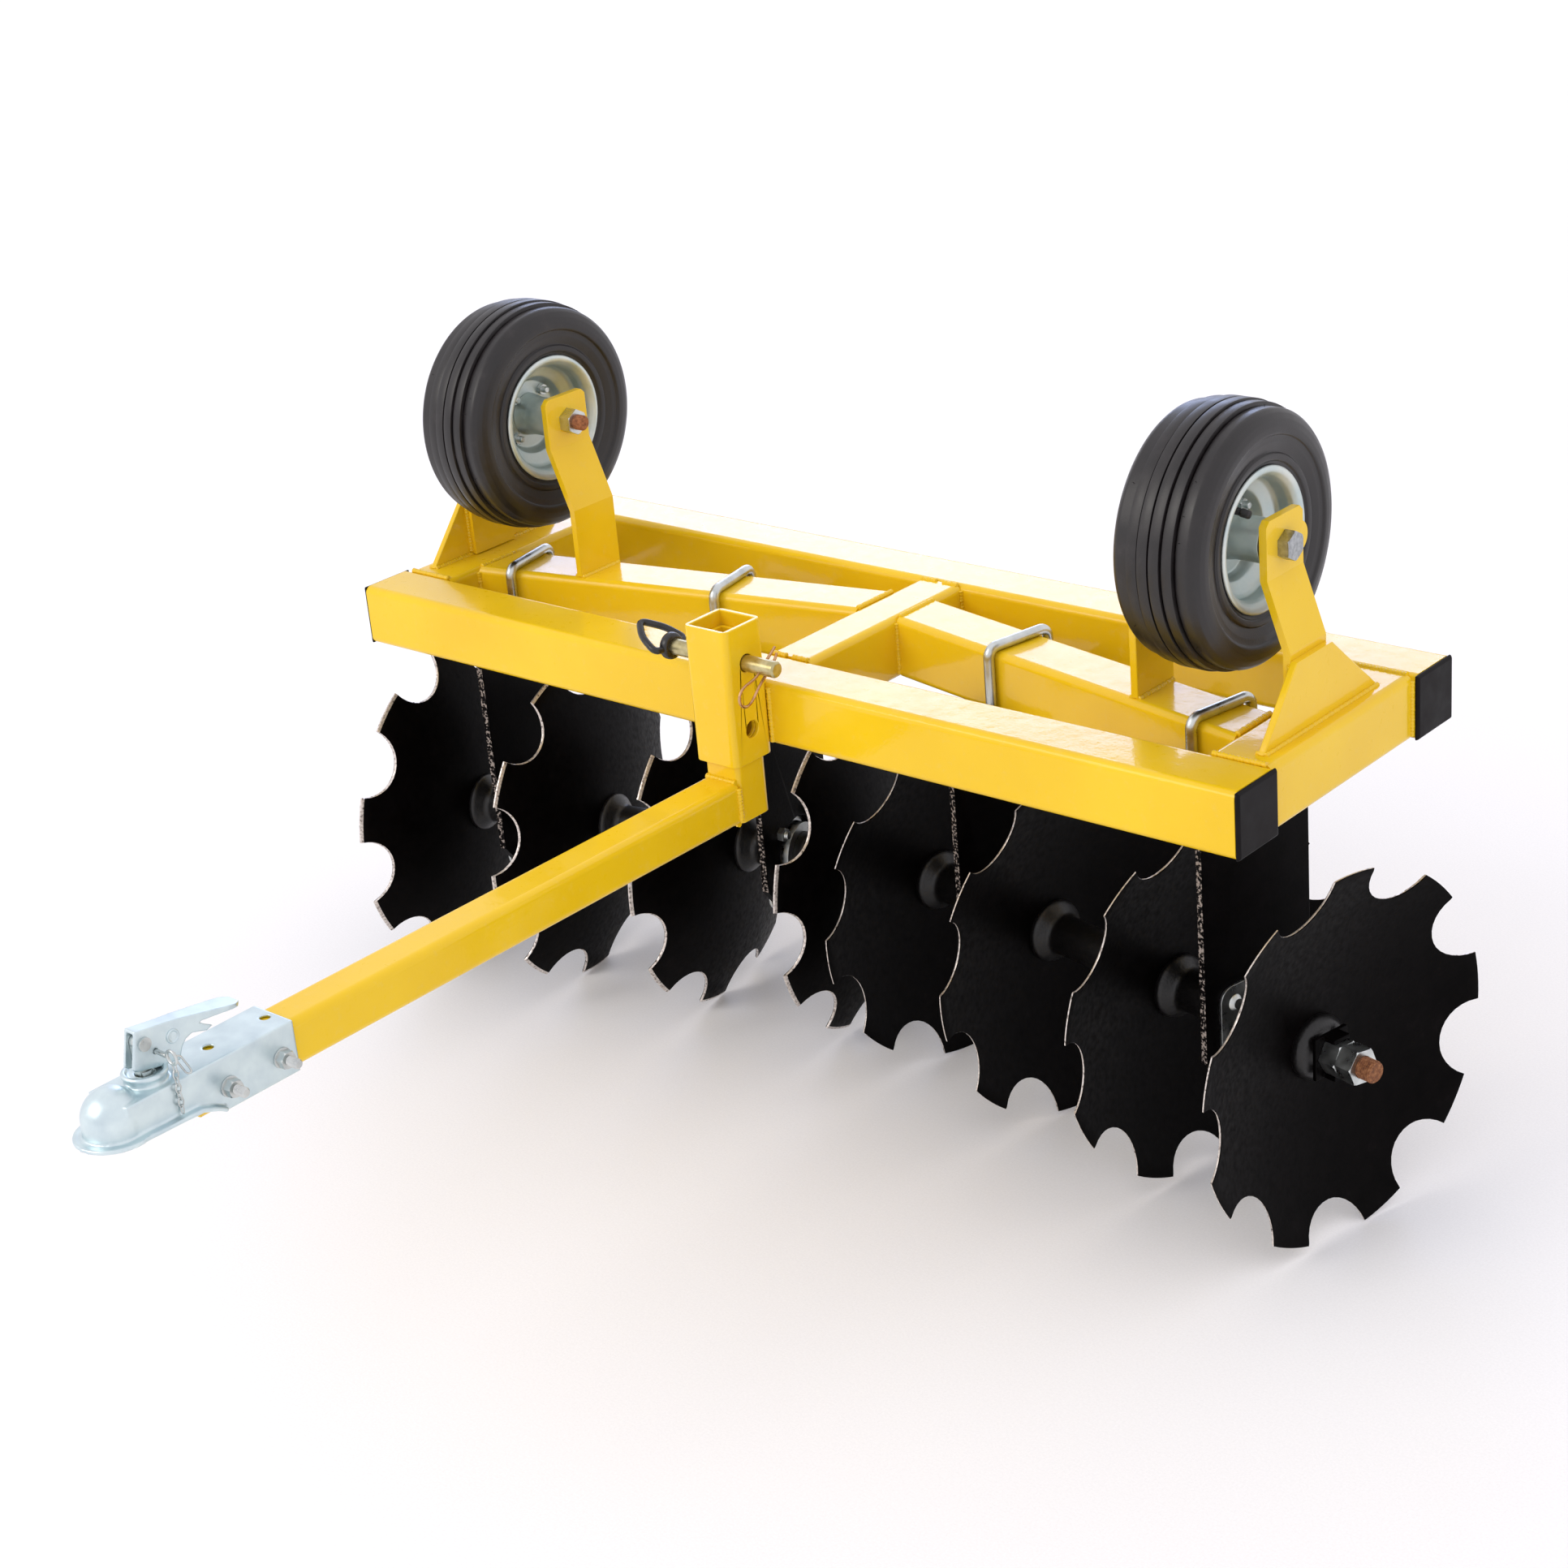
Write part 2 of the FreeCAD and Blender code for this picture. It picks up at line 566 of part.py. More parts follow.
def gang_end_hardware():
    """Outer end of each gang: dished cast washer, square lock plate with a bent tab, two nuts."""
    last = dim("disc_first") + 3 * dim("disc_pitch") + dim("disc_thick")
    for name, side in (("left", -1), ("right", 1)):
        washer = turn_profile([(last, 38), (last + 6, 38), (last + 15, 30), (last + 19, 22)])
        compound_part("gang_end_washer_" + name, [washer], gang_place(side, turn=axle_turn(side)))
        start = last + 19
        lock = body("gang_lock_plate_" + name)
        primitive(lock, "AdditiveBox", FreeCAD.Placement(V(-25, -25, start), ROT()), Length=50, Width=50, Height=5)
        for x in (-25, 20):
            primitive(lock, "AdditiveBox", FreeCAD.Placement(V(x, -12, start), ROT()), Length=5, Width=24, Height=20)
        turn = ROT(V(0, 0, 1), axle_turn(side))
        primitive(lock, "SubtractiveBox", FreeCAD.Placement(turn.multVec(V(-13, -13, 0)) + V(0, 0, start - 5), turn),
                  Length=26, Width=26, Height=30)
        lock.Placement = gang_place(side, 0, 0)
        bore = dim("thread_radius") + 0.02
        nuts = [hexagon(38, 22, V(0, 0, start + 5.2), V(0, 0, 1), bore),
                hexagon(38, 22, V(0, 0, start + 27.4), V(0, 0, 1), bore)]
        nuts[0].rotate(V(), V(0, 0, 1), 30)
        nuts[1].rotate(V(), V(0, 0, 1), 22)
        compound_part("gang_nuts_" + name, nuts, gang_place(side, 0, 0))


def hangers():
    """Hanger plates bent from flat bar: a shelf under the gang tube and a web down past the axle."""
    t = dim("hanger_thick")
    half = dim("hanger_half")
    top = dim("axle_drop") - dim("beam_size")
    for name, side in (("left", -1), ("right", 1)):
        for where, shelf_out in (("outer", -1), ("inner", 1)):
            item = body("hanger_%s_%s" % (name, where))
            sketch = sketch_on(item, "XY_Plane")
            low = -dim("hanger_below")
            polygon(sketch, [(top, -half), (top, half), (low + 40, half), (low, half - 34), (low, 34 - half),
                             (low + 40, -half)])
            pad(item, sketch, "hanger_thick")
            start = 0 if shelf_out > 0 else t - dim("shelf_length")
            primitive(item, "AdditiveBox", FreeCAD.Placement(V(top - t, -half, start), ROT()),
                      Length=t, Width=2 * half, Height="shelf_length")
            drill(item, 46, 3 * t, V(0, 0, -t), V(0, 0, 1))
            for angle in (45, 135, 225, 315):
                x, y = 58 * math.cos(math.radians(angle)), 58 * math.sin(math.radians(angle))
                drill(item, 5.5, 3 * t, V(x, y, -t), V(0, 0, 1))
            bolt = ubolt_position(name, where) - dim("hanger_" + where)
            for across in (-1, 1):
                drill(item, dim("ubolt_rod") + 0.4, 3 * t, V(top - 2 * t, across * dim("ubolt_reach"), bolt), V(1, 0, 0))
            item.Placement = gang_place(side, dim("hanger_" + where))


def ubolt_position(name, where):
    """Where a U-bolt stands along its gang tube, measured from the machine's middle."""
    if where == "outer":
        return 534.0
    return 232.0 if name == "left" else 213.0


def ubolts():
    """Square-bend U-bolts over the gang tubes, nutted under the hangers' shelves."""
    r, reach = dim("ubolt_rod"), dim("ubolt_reach")
    top = dim("axle_drop") + r + 0.05
    foot = dim("axle_drop") - dim("beam_size") - dim("hanger_thick")
    bend = 12.0
    rods, nuts = [], []
    for name, side in (("left", -1), ("right", 1)):
        for where in ("outer", "inner"):
            place = gang_place(side, ubolt_position(name, where))
            place.Base = place.Base - SHIFT
            path = Part.Wire([
                Part.makeLine(V(foot - 22, -reach, 0), V(top - bend, -reach, 0)),
                Part.Arc(V(top - bend, -reach, 0), V(top - bend * 0.293, -reach + bend * 0.293, 0),
                         V(top, -reach + bend, 0)).toShape(),
                Part.makeLine(V(top, -reach + bend, 0), V(top, reach - bend, 0)),
                Part.Arc(V(top, reach - bend, 0), V(top - bend * 0.293, reach - bend * 0.293, 0),
                         V(top - bend, reach, 0)).toShape(),
                Part.makeLine(V(top - bend, reach, 0), V(foot - 22, reach, 0))])
            ring = Part.Wire(Part.makeCircle(r, V(foot - 22, -reach, 0), V(1, 0, 0)))
            bar = path.makePipeShell([ring], True, False)
            bar.Placement = place
            rods.append(bar)
            for across in (-1, 1):
                nut = hexagon(19, 11, V(foot - 0.1, across * reach, 0), V(-1, 0, 0), r + 0.02)
                nut.Placement = place.multiply(nut.Placement)
                nuts.append(nut)
    compound_part("hanger_u_bolts", rods)
    compound_part("hanger_u_bolt_nuts", nuts)


def bearings():
    """Four flanged bearing units, each held to its hanger by four round-head bolts with nuts."""
    side_length = dim("bearing_side")
    t = dim("hanger_thick")
    units, fasteners = [], []
    for name, side in (("left", -1), ("right", 1)):
        for where in ("outer", "inner"):
            place = gang_place(side, dim("hanger_" + where))
            place.Base = place.Base - SHIFT
            plate = Part.makeBox(side_length, side_length, 4, V(-side_length / 2, -side_length / 2, t + 0.1))
            plate = plate.makeFillet(18, [e for e in plate.Edges if abs(e.CenterOfMass.z - t - 2.1) < 0.01])
            dome = Part.makeCone(44, 36, 11, V(0, 0, t + 4.1))
            ring = Part.makeCylinder(38, t + 10, V(0, 0, -6))
            unit = plate.fuse(dome).fuse(ring).cut(Part.makeCylinder(dim("bearing_bore"), 80, V(0, 0, -30)))
            for angle in (45, 135, 225, 315):
                x, y = 58 * math.cos(math.radians(angle)), 58 * math.sin(math.radians(angle))
                unit = unit.cut(rod(5.5, V(x, y, -20), V(x, y, 40)))
                head = Part.makeCone(9.5, 6, 5, V(x, y, t + 4.2))
                shank = rod(5, V(x, y, -13), V(x, y, t + 4.2))
                bolt = head.fuse(shank)
                nut = hexagon(16, 8, V(x, y, -0.1), V(0, 0, -1), 5.02)
                for piece in (bolt, nut):
                    piece.Placement = place.multiply(piece.Placement)
                    fasteners.append(piece)
            unit.Placement = place.multiply(unit.Placement)
            units.append(unit)
    compound_part("hanger_bearings", units)
    compound_part("bearing_fasteners", fasteners)


def hitch_pin():
    """The pin that fixes the post's height, its forged eye with a loose ring, and a hairpin clip."""
    axis = V(0, -dim("receiver_size") / 2, dim("pin_height"))
    item = body("hitch_pin")
    primitive(item, "AdditiveCylinder", FreeCAD.Placement(V(-76, 0, 0), ROT(V(0, 0, 1), V(1, 0, 0))),
              Radius="pin_radius", Height=154)
    primitive(item, "AdditiveCylinder", FreeCAD.Placement(V(-90, 0, 0), ROT(V(0, 0, 1), V(1, 0, 0))),
              Radius=16, Height=14)
    lift = V(0, math.cos(math.radians(35)), math.sin(math.radians(35)))
    drill(item, 2.2, 60, V(56, 0, 0) - lift * 30, lift)
    drill(item, 5.2, 60, V(-83, -30, 0), V(0, 1, 0))
    item.Placement = FreeCAD.Placement(axis + SHIFT, ROT())
    ring = closed_wire([(0, -26, 0), (0, 26, 0), (-26, 19, 12), (-47, 0, 22), (-26, -19, 12)], 4.2)
    ring.translate(axis + V(-83, 0, 0))
    compound_part("hitch_pin_handle", [ring])
    points = [(0, 28), (0, 14), (0, 0), (0, -13), (4, -25), (8.5, -37), (5, -48), (-5, -51), (-13, -45),
              (-14.5, -34), (-12.5, -22), (-11.8, -10), (-11.8, 2), (-11.5, 13), (-7.5, 25)]
    clip = open_wire([V(56, 0, 0) + lift * y + V(0, -lift.z, lift.y) * x for x, y in points], 1.7)
    clip.translate(axis)
    compound_part("hairpin_clip", [clip])


def closed_wire(points, radius, bend=9.0):
    """A closed ring of round wire: straight runs with round bends at the points."""
    corners = [V(*p) for p in points]
    count = len(corners)
    start = (corners[0] + corners[1]) * 0.5
    edges = []
    previous = start
    for i in range(1, count + 1):
        before, corner, after = corners[i - 1], corners[i % count], corners[(i + 1) % count]
        bend_start = corner + (before - corner).normalize() * bend
        bend_end = corner + (after - corner).normalize() * bend
        curve = Part.BezierCurve()
        curve.setPoles([bend_start, corner, bend_end])
        edges += [Part.makeLine(previous, bend_start), curve.toShape()]
        previous = bend_end
    edges.append(Part.makeLine(previous, start))
    section = Part.Wire(Part.makeCircle(radius, start, corners[1] - corners[0]))
    return Part.Wire(edges).makePipeShell([section], True, False)


def open_wire(points, radius):
    """Round wire bent smoothly through the points."""
    curve = Part.BSplineCurve()
    curve.interpolate(points)
    path = Part.Wire(curve.toShape())
    ring = Part.Wire(Part.makeCircle(radius, points[0], curve.tangent(curve.FirstParameter)[0]))
    return path.makePipeShell([ring], True, False)


LATCH_Y = -877


def coupler():
    """A stamped straight-channel ball coupler: channel, dome, skirt and a collar for the stud."""
    half, wall = dim("channel_half"), dim("channel_wall")
    top, rear = dim("channel_top"), dim("coupler_rear")
    ball = V(0, dim("ball_y"), dim("ball_z"))
    skirt = dim("skirt_z")
    dome, socket = dim("dome_radius"), dim("socket_radius")

    def channel(inset, lift, nose):
        side = [V(0, rear + 5, top - lift), V(0, nose, top - lift), V(0, nose, skirt), V(0, -842, -140.5),
                V(0, -822, -149), V(0, -811, -156.4), V(0, rear + 5, -156.4)]
        side = [V(-half + inset, p.y - 5, p.z) for p in side]
        return Part.Face(Part.makePolygon(side + side[:1])).extrude(V(2 * (half - inset), 0, 0))

    shell = channel(0, 0, ball.y + 3)
    shell = shell.fuse(Part.makeSphere(dome, ball))
    shell = shell.fuse(Part.makeCylinder(dome, ball.z - skirt, V(0, ball.y, skirt)))
    plate = Part.makeCylinder(dim("skirt_radius"), 4, V(0, ball.y, skirt))
    run = [V(-half - 5, ball.y, skirt), V(-half - 5, -846, -140), V(-half - 5, -827, -148), V(-half - 5, -816, -154)]
    run += [p + V(0, 1, 4) for p in reversed(run)]
    wings = Part.Face(Part.makePolygon(run + run[:1])).extrude(V(2 * half + 10, 0, 0))
    shell = shell.fuse(plate).fuse(wings)
    shell = shell.fuse(Part.makeCylinder(21, 12, V(0, LATCH_Y, top - 4)))
    core = channel(wall, wall, ball.y + 3).cut(Part.makeBox(200, 300, 40, V(-100, -1040, top - wall)))
    below = Part.makeBox(2 * (half - wall), -725 - ball.y, 60, V(-half + wall, ball.y, -186))
    core = core.fuse(below).fuse(Part.makeSphere(socket, ball))
    core = core.fuse(Part.makeCylinder(socket, 60, V(0, ball.y, ball.z - 60)))
    back = Part.makeBox(2 * (half - wall), 20, 70, V(-half + wall, rear - 12, top - wall - 70))
    shell = shell.cut(core).cut(back)
    shell = shell.cut(Part.makeCylinder(9.6, 60, V(0, LATCH_Y, top - 20)))
    floor = Part.makeBox(200, 300, 60, V(-100, -1000, -216.4))
    shell = shell.cut(floor)
    for y in (-731, -802):
        shell = shell.cut(Part.makeCylinder(5.5, 30, V(0, y, top - 15)))
    for y in BOLT_Y:
        shell = shell.cut(rod(5.6, V(-60, y, BOLT_Z), V(60, y, BOLT_Z)))
    compound_part("coupler_body", [max(shell.Solids, key=lambda s: s.Volume)])
    fasteners = []
    for y in BOLT_Y:
        bolt = rod(5.4, V(-half, y, BOLT_Z), V(half + 26, y, BOLT_Z))
        bolt = bolt.fuse(hexagon(17, 7, V(-half, y, BOLT_Z), V(-1, 0, 0)))
        fasteners += [bolt, hexagon(17, 12, V(half + 0.1, y, BOLT_Z), V(1, 0, 0), 5.42)]
    compound_part("coupler_fasteners", fasteners)


def coupler_latch():
    """Lever, its cross pin, the stud with the ball clamp, and the safety pin."""
    pivot = V(0, LATCH_Y, -60)

    def folded(side, plan):
        flank = Part.Face(Part.makePolygon([V(-20, y, z) for y, z in side + side[:1]])).extrude(V(40, 0, 0))
        left = [(-x, y) for x, y in reversed(plan)]
        above = Part.Face(Part.makePolygon([V(x, y, -80) for x, y in plan + left + plan[:1]])).extrude(V(0, 0, 160))
        return flank.common(above)

    strip = folded([(-8, 16), (-17, -21), (-13.5, -24.5), (10, -30), (36, -34), (41, -22), (46, -15.5), (54, -12.5),
                    (70, -17), (77, -14), (69, -9.5), (62, -4.5), (89, -6.5), (111, -9), (114, -5), (43, 8.5)],
                   [(8, -30), (8, 30), (13.5, 98), (12.5, 107), (8, 114)])
    inside = folded([(-40, 17.5), (-40, -60), (104, -60), (104, -6.2), (43, 5.4)],
                    [(5, -50), (5, 30), (10.5, 96), (6, 104)])
    lever = strip.cut(inside)
    lever = lever.cut(rod(4.4, V(-30, 0, 0), V(30, 0, 0))).cut(rod(2.58, V(-30, 11.5, -13), V(30, 11.5, -13)))
    compound_part("coupler_lever", [max(lever.Solids, key=lambda s: s.Volume)], frame_place(pivot.x, pivot.y, pivot.z))
    cross = body("coupler_lever_pin")
    primitive(cross, "AdditiveCylinder", FreeCAD.Placement(V(-8.02, 0, 0), ROT(V(0, 0, 1), V(1, 0, 0))),
              Radius=4.35, Height=16.04)
    for x in (-10.5, 8.02):
        primitive(cross, "AdditiveCylinder", FreeCAD.Placement(V(x, 0, 0), ROT(V(0, 0, 1), V(1, 0, 0))),
                  Radius=7, Height=2.48)
    cross.Placement = FreeCAD.Placement(pivot + SHIFT, ROT())
    stud = Part.makeCylinder(7.5, 41, V(0, LATCH_Y, -130)).fuse(Part.makeBox(9.2, 15.6, 34, V(-4.6, LATCH_Y - 7.8, -94)))
    stud = stud.fuse(rod(8, pivot - V(4.6, 0, 0), pivot + V(4.6, 0, 0)))
    stud = stud.cut(rod(4.43, pivot - V(20, 0, 0), pivot + V(20, 0, 0)))
    claw = Part.makeBox(24, 32, 8, V(-12, LATCH_Y - 22, -130))
    claw = claw.cut(Part.makeSphere(27.5, V(0, dim("ball_y"), dim("ball_z"))))
    compound_part("ball_clamp", [max(stud.fuse(claw).Solids, key=lambda s: s.Volume)])
    hole = pivot + V(0, 11.5, -13)
    shank = rod(2.5, hole + V(-13, 0, 0), hole + V(24, 0, 0))
    eye = Part.makeTorus(7, 1.6, hole + V(31.6, 0, 0), V(0, 1, 0))
    compound_part("safety_pin", [shank.fuse(eye)])


beams()
side_tubes()
centre_tube()
gang_tubes()
end_caps()
receiver_and_drawbar()
gussets()
wheel_arms()
wheel_axles()
wheels()
gang_axles()
gang_discs()
gang_spools()
gang_end_hardware()
hangers()
ubolts()
bearings()
hitch_pin()
coupler()
coupler_latch()
doc.recompute()

for an_object in doc.Objects:
    if "Invalid" in an_object.State or "Error" in an_object.State:
        raise RuntimeError("%s did not compute: %s" % (an_object.Label, an_object.State))
os.makedirs("parts", exist_ok=True)
for item in PARTS:
    shape = item.Shape
    if shape.isNull() or not shape.isValid() or not shape.Solids:
        raise RuntimeError("%s has no valid solid" % item.Label)
    shape.exportStep("parts/%s.step" % item.Label)
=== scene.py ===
import math
import random

import bmesh
import bpy
from mathutils import Matrix, Vector


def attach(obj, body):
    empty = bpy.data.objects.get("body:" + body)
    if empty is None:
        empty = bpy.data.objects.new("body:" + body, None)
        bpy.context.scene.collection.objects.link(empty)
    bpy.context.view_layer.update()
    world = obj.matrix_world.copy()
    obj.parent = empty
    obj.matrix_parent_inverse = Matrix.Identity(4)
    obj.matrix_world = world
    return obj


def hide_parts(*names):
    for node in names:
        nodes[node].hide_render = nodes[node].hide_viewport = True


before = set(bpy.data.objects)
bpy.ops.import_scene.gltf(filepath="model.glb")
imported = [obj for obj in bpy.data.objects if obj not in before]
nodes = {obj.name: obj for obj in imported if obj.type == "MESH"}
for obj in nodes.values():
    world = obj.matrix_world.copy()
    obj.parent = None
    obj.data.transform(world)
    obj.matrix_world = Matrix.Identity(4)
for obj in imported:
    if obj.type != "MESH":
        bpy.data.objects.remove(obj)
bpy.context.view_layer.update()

# ---- Floor, light and camera ----
# The harrow stands on plain white card under an even, bright sky. A wide soft lamp low behind it and
# a broad one in front add the sky's brighter parts; the card is matt paper with a faint tooth.


def linear(code):
    """An sRGB hex colour as linear red, green, blue and alpha."""
    values = [int(code[i:i + 2], 16) / 255 for i in (1, 3, 5)]
    return [v / 12.92 if v <= 0.04045 else ((v + 0.055) / 1.055) ** 2.4 for v in values] + [1.0]


def add(tree, kind, inputs=(), **settings):
    """Adds one node, sets its options, then fills or links its inputs: (name or number, value or socket)."""
    made = tree.nodes.new("ShaderNode" + kind)
    for name, value in settings.items():
        setattr(made, name, value)
    for key, value in inputs:
        if isinstance(value, bpy.types.NodeSocket):
            tree.links.new(value, made.inputs[key])
        else:
            made.inputs[key].default_value = value
    return made


def blank(name, **finish):
    """A new material: its tree, its shader with constant values set, and the object coordinates."""
    material = bpy.data.materials.new(name)
    material.use_nodes = True
    tree = material.node_tree
    shader = tree.nodes["Principled BSDF"]
    for key, value in finish.items():
        shader.inputs[key.replace("_", " ")].default_value = value
    return material, tree, shader, add(tree, "TexCoord").outputs["Object"]


def grade(tree, fac, stops):
    """A colour ramp from (position, hex colour or grey level) stops."""
    ramp = add(tree, "ValToRGB", [("Fac", fac)])
    while len(ramp.color_ramp.elements) < len(stops):
        ramp.color_ramp.elements.new(0.5)
    for element, (position, value) in zip(ramp.color_ramp.elements, stops):
        element.position = position
        element.color = linear(value) if isinstance(value, str) else (value, value, value, 1)
    return ramp.outputs["Color"]


def mottle(tree, place, scale, detail, roughness=0.5):
    """A soft noise pattern, with scale saying how many patches fit in a metre."""
    noise = add(tree, "TexNoise", [("Vector", place), ("Scale", scale), ("Detail", detail),
                                   ("Roughness", roughness)])
    return noise.outputs["Fac"]


def spread(tree, shader, key, pattern, stops):
    """Sends a pattern through a colour ramp into one of the shader's inputs."""
    tree.links.new(grade(tree, pattern, stops), shader.inputs[key])


def soft_lamp(name, place, size, watts, tint):
    """A rectangular lamp aimed at the middle of the harrow, its place and size in metres."""
    lamp = bpy.data.objects.new(name, bpy.data.lights.new(name, "AREA"))
    lamp.data.shape = "RECTANGLE"
    lamp.data.size, lamp.data.size_y = size
    lamp.data.energy = watts
    lamp.data.color = linear(tint)[:3]
    lamp.location = place
    lamp.rotation_euler = (Vector((0, 0.2, 0.4)) - Vector(place)).to_track_quat("-Z", "Y").to_euler()
    bpy.context.collection.objects.link(lamp)


card, tree, shader, place = blank("white_card", Roughness=0.9)
tooth = mottle(tree, place, 400.0, 2.0)  # 2.5 mm paper tooth
spread(tree, shader, "Base Color", tooth, [(0.3, "#f3f2f2"), (0.7, "#f9f8f8")])
floor_radius, floor_sides = 60, 72
turns = [k * math.tau / floor_sides for k in range(floor_sides)]
form = bmesh.new()
form.faces.new([form.verts.new((floor_radius * math.cos(a), floor_radius * math.sin(a), 0)) for a in turns])
sheet = bpy.data.meshes.new("floor")
form.to_mesh(sheet)
form.free()
floor = bpy.data.objects.new("floor", sheet)
bpy.context.collection.objects.link(floor)
floor.data.materials.append(card)

world = bpy.data.worlds.new("sky")
bpy.context.scene.world = world
world.use_nodes = True
world.node_tree.nodes["Background"].inputs["Color"].default_value = linear("#f7f5f9")
world.node_tree.nodes["Background"].inputs["Strength"].default_value = 1.12
soft_lamp("back_sky", (-9.2, 12.6, 5.5), (6.6, 3.6), 370, "#b4c8fa")
soft_lamp("front_sky", (-3.2, -6.5, 5.5), (5.0, 4.0), 190, "#fffaf2")
bpy.context.scene.view_settings.view_transform = "Standard"

azimuth, elevation, roll = math.radians(42.74), math.radians(23.303), math.radians(-5.251)
level = math.cos(elevation)
back = Vector((math.sin(azimuth) * level, -math.cos(azimuth) * level, math.sin(elevation)))
right = Vector((0, 0, 1)).cross(back).normalized()
up = back.cross(right)
right, up = right * math.cos(roll) + up * math.sin(roll), up * math.cos(roll) - right * math.sin(roll)
aim = Matrix((right, up, back)).transposed().to_4x4()
camera = bpy.data.objects.new("camera", bpy.data.cameras.new("camera"))
camera.matrix_world = Matrix.Translation((2.12246, -2.00616, 1.76754)) @ aim
camera.data.sensor_width = 36
camera.data.lens = 67.06
bpy.context.collection.objects.link(camera)
bpy.context.scene.camera = camera

# ---- Yellow frame ----
# Cold-rolled square steel tube, mitred and welded flat, then sprayed with one thick coat of glossy
# yellow alkyd enamel. The enamel lies in a soft orange peel, rounds every edge and mirrors the sky.


def dress(names, material, edge=0.0):
    """Gives CAD nodes their finish and, where edge is set, rounds their sharp edges by that much."""
    for name in names:
        node = nodes[name]
        for holder in node.material_slots:
            holder.material = material
        if edge:
            join = node.modifiers.new("join", "WELD")
            join.merge_threshold = 0.00002
            soft = node.modifiers.new("soft_edges", "BEVEL")
            soft.width = edge
            soft.segments = 3
            soft.limit_method = "ANGLE"
            soft.angle_limit = math.radians(32)
            soft.harden_normals = True


def roughen(tree, shader, height, strength, depth, inputs=("Normal",)):
    """Lets a height pattern tilt the surface, up to depth metres deep."""
    skin = add(tree, "Bump", [("Height", height), ("Strength", strength), ("Distance", depth)])
    for key in inputs:
        tree.links.new(skin.outputs["Normal"], shader.inputs[key])


enamel, tree, shader, place = blank("yellow_alkyd_enamel", IOR=1.5, Specular_IOR_Level=0.1, Coat_Weight=0.55,
                                    Coat_Roughness=0.07, Coat_IOR=1.55)
batch = mottle(tree, place, 7.0, 3.0)  # drifts over 140 mm
base = grade(tree, batch, [(0.3, "#e9be14"), (0.7, "#f0c71c")])
grime = mottle(tree, place, 90.0, 6.0, 0.7)  # 11 mm smears
film = grade(tree, grime, [(0.56, 0.0), (0.78, 0.16)])
dusty = add(tree, "MixRGB", [("Fac", film), ("Color1", base), ("Color2", linear("#ead596"))])
tree.links.new(dusty.outputs["Color"], shader.inputs["Base Color"])
spread(tree, shader, "Roughness", grime, [(0.3, 0.24), (0.8, 0.46)])
peel = mottle(tree, place, 260.0, 2.0)  # 4 mm orange peel
waves = mottle(tree, place, 22.0, 2.0)  # 45 mm rolling waves
depth = add(tree, "Math", [(0, waves), (1, 5.0), (2, peel)], operation="MULTIPLY_ADD")
roughen(tree, shader, depth.outputs[0], 0.28, 0.0004, ("Normal", "Coat Normal"))
dress(["front_beam", "rear_beam", "side_tube_left", "side_tube_right", "centre_tube", "gang_tube_left",
       "gang_tube_right", "drawbar_arm"], enamel)
dress(["receiver_tube", "drawbar_post"], enamel, 0.0012)
dress(["wheel_gusset_left", "wheel_gusset_right", "wheel_arm_outer_left", "wheel_arm_outer_right",
       "wheel_arm_inner_left", "wheel_arm_inner_right"], enamel, 0.0016)

# ---- Weld beads ----
# Every joint of the frame is MIG welded before painting. The bead is a low rope of overlapping
# puddles about 4 mm apart, so the enamel over it catches the light in short ripples.


def at(x, y, z):
    """A point from the drawing, in millimetres from the frame's top and the front beam's face."""
    return Vector((x, y + 244.524, z + 570)) / 1000


def piece(name, form, material, body, stands_for=(), crease=30):
    """Makes a finished mesh a named piece that rides on one body, for the CAD nodes it stands for."""
    bmesh.ops.recalc_face_normals(form, faces=form.faces)
    sheet = bpy.data.meshes.new(name)
    form.to_mesh(sheet)
    form.free()
    sheet.shade_smooth()
    sheet.set_sharp_from_angle(angle=math.radians(crease))
    made = bpy.data.objects.new(name, sheet)
    bpy.context.collection.objects.link(made)
    made.data.materials.append(material)
    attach(made, body)
    if stands_for:
        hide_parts(*stands_for)
    return made


def skin_rings(form, rings):
    """Skins a pile of equal rings and closes both ends."""
    count = len(rings[0])
    for low, high in zip(rings, rings[1:]):
        for k in range(count):
            form.faces.new((low[k], low[(k + 1) % count], high[(k + 1) % count], high[k]))
    form.faces.new(rings[0][::-1])
    form.faces.new(rings[-1])


def rope(form, points, radius, sides=8, ripple=0.0):
    """A round bar swept through the points, its radius swelling once every pitch where there is a ripple."""
    pitch = 0.004
    runs = [(b - a).length for a, b in zip(points, points[1:])]
    stations = []
    travelled = 0.0
    for (a, b), run in zip(zip(points, points[1:]), runs):
        count = max(2, round(run / (pitch / 4))) if ripple else 1
        for k in range(count):
            stations.append((a.lerp(b, k / count), travelled + run * k / count))
        travelled += run
    stations.append((points[-1], travelled))
    rings = []
    side = None
    for i, (spot, along) in enumerate(stations):
        ahead = stations[min(i + 1, len(stations) - 1)][0] - stations[max(i - 1, 0)][0]
        ahead.normalize()
        if side is None:
            side = ahead.orthogonal().normalized()
        side = (side - ahead * side.dot(ahead)).normalized()
        other = ahead.cross(side)
        # The puddles swell regularly, and a little unevenly on top.
        swell = math.sin(along / pitch * math.tau) + 0.6 * math.sin(along * 613.0)
        fat = radius * (1 + ripple * swell)
        rings.append([form.verts.new(spot + (side * math.cos(t) + other * math.sin(t)) * fat)
                      for t in (k * math.tau / sides for k in range(sides))])
    skin_rings(form, rings)


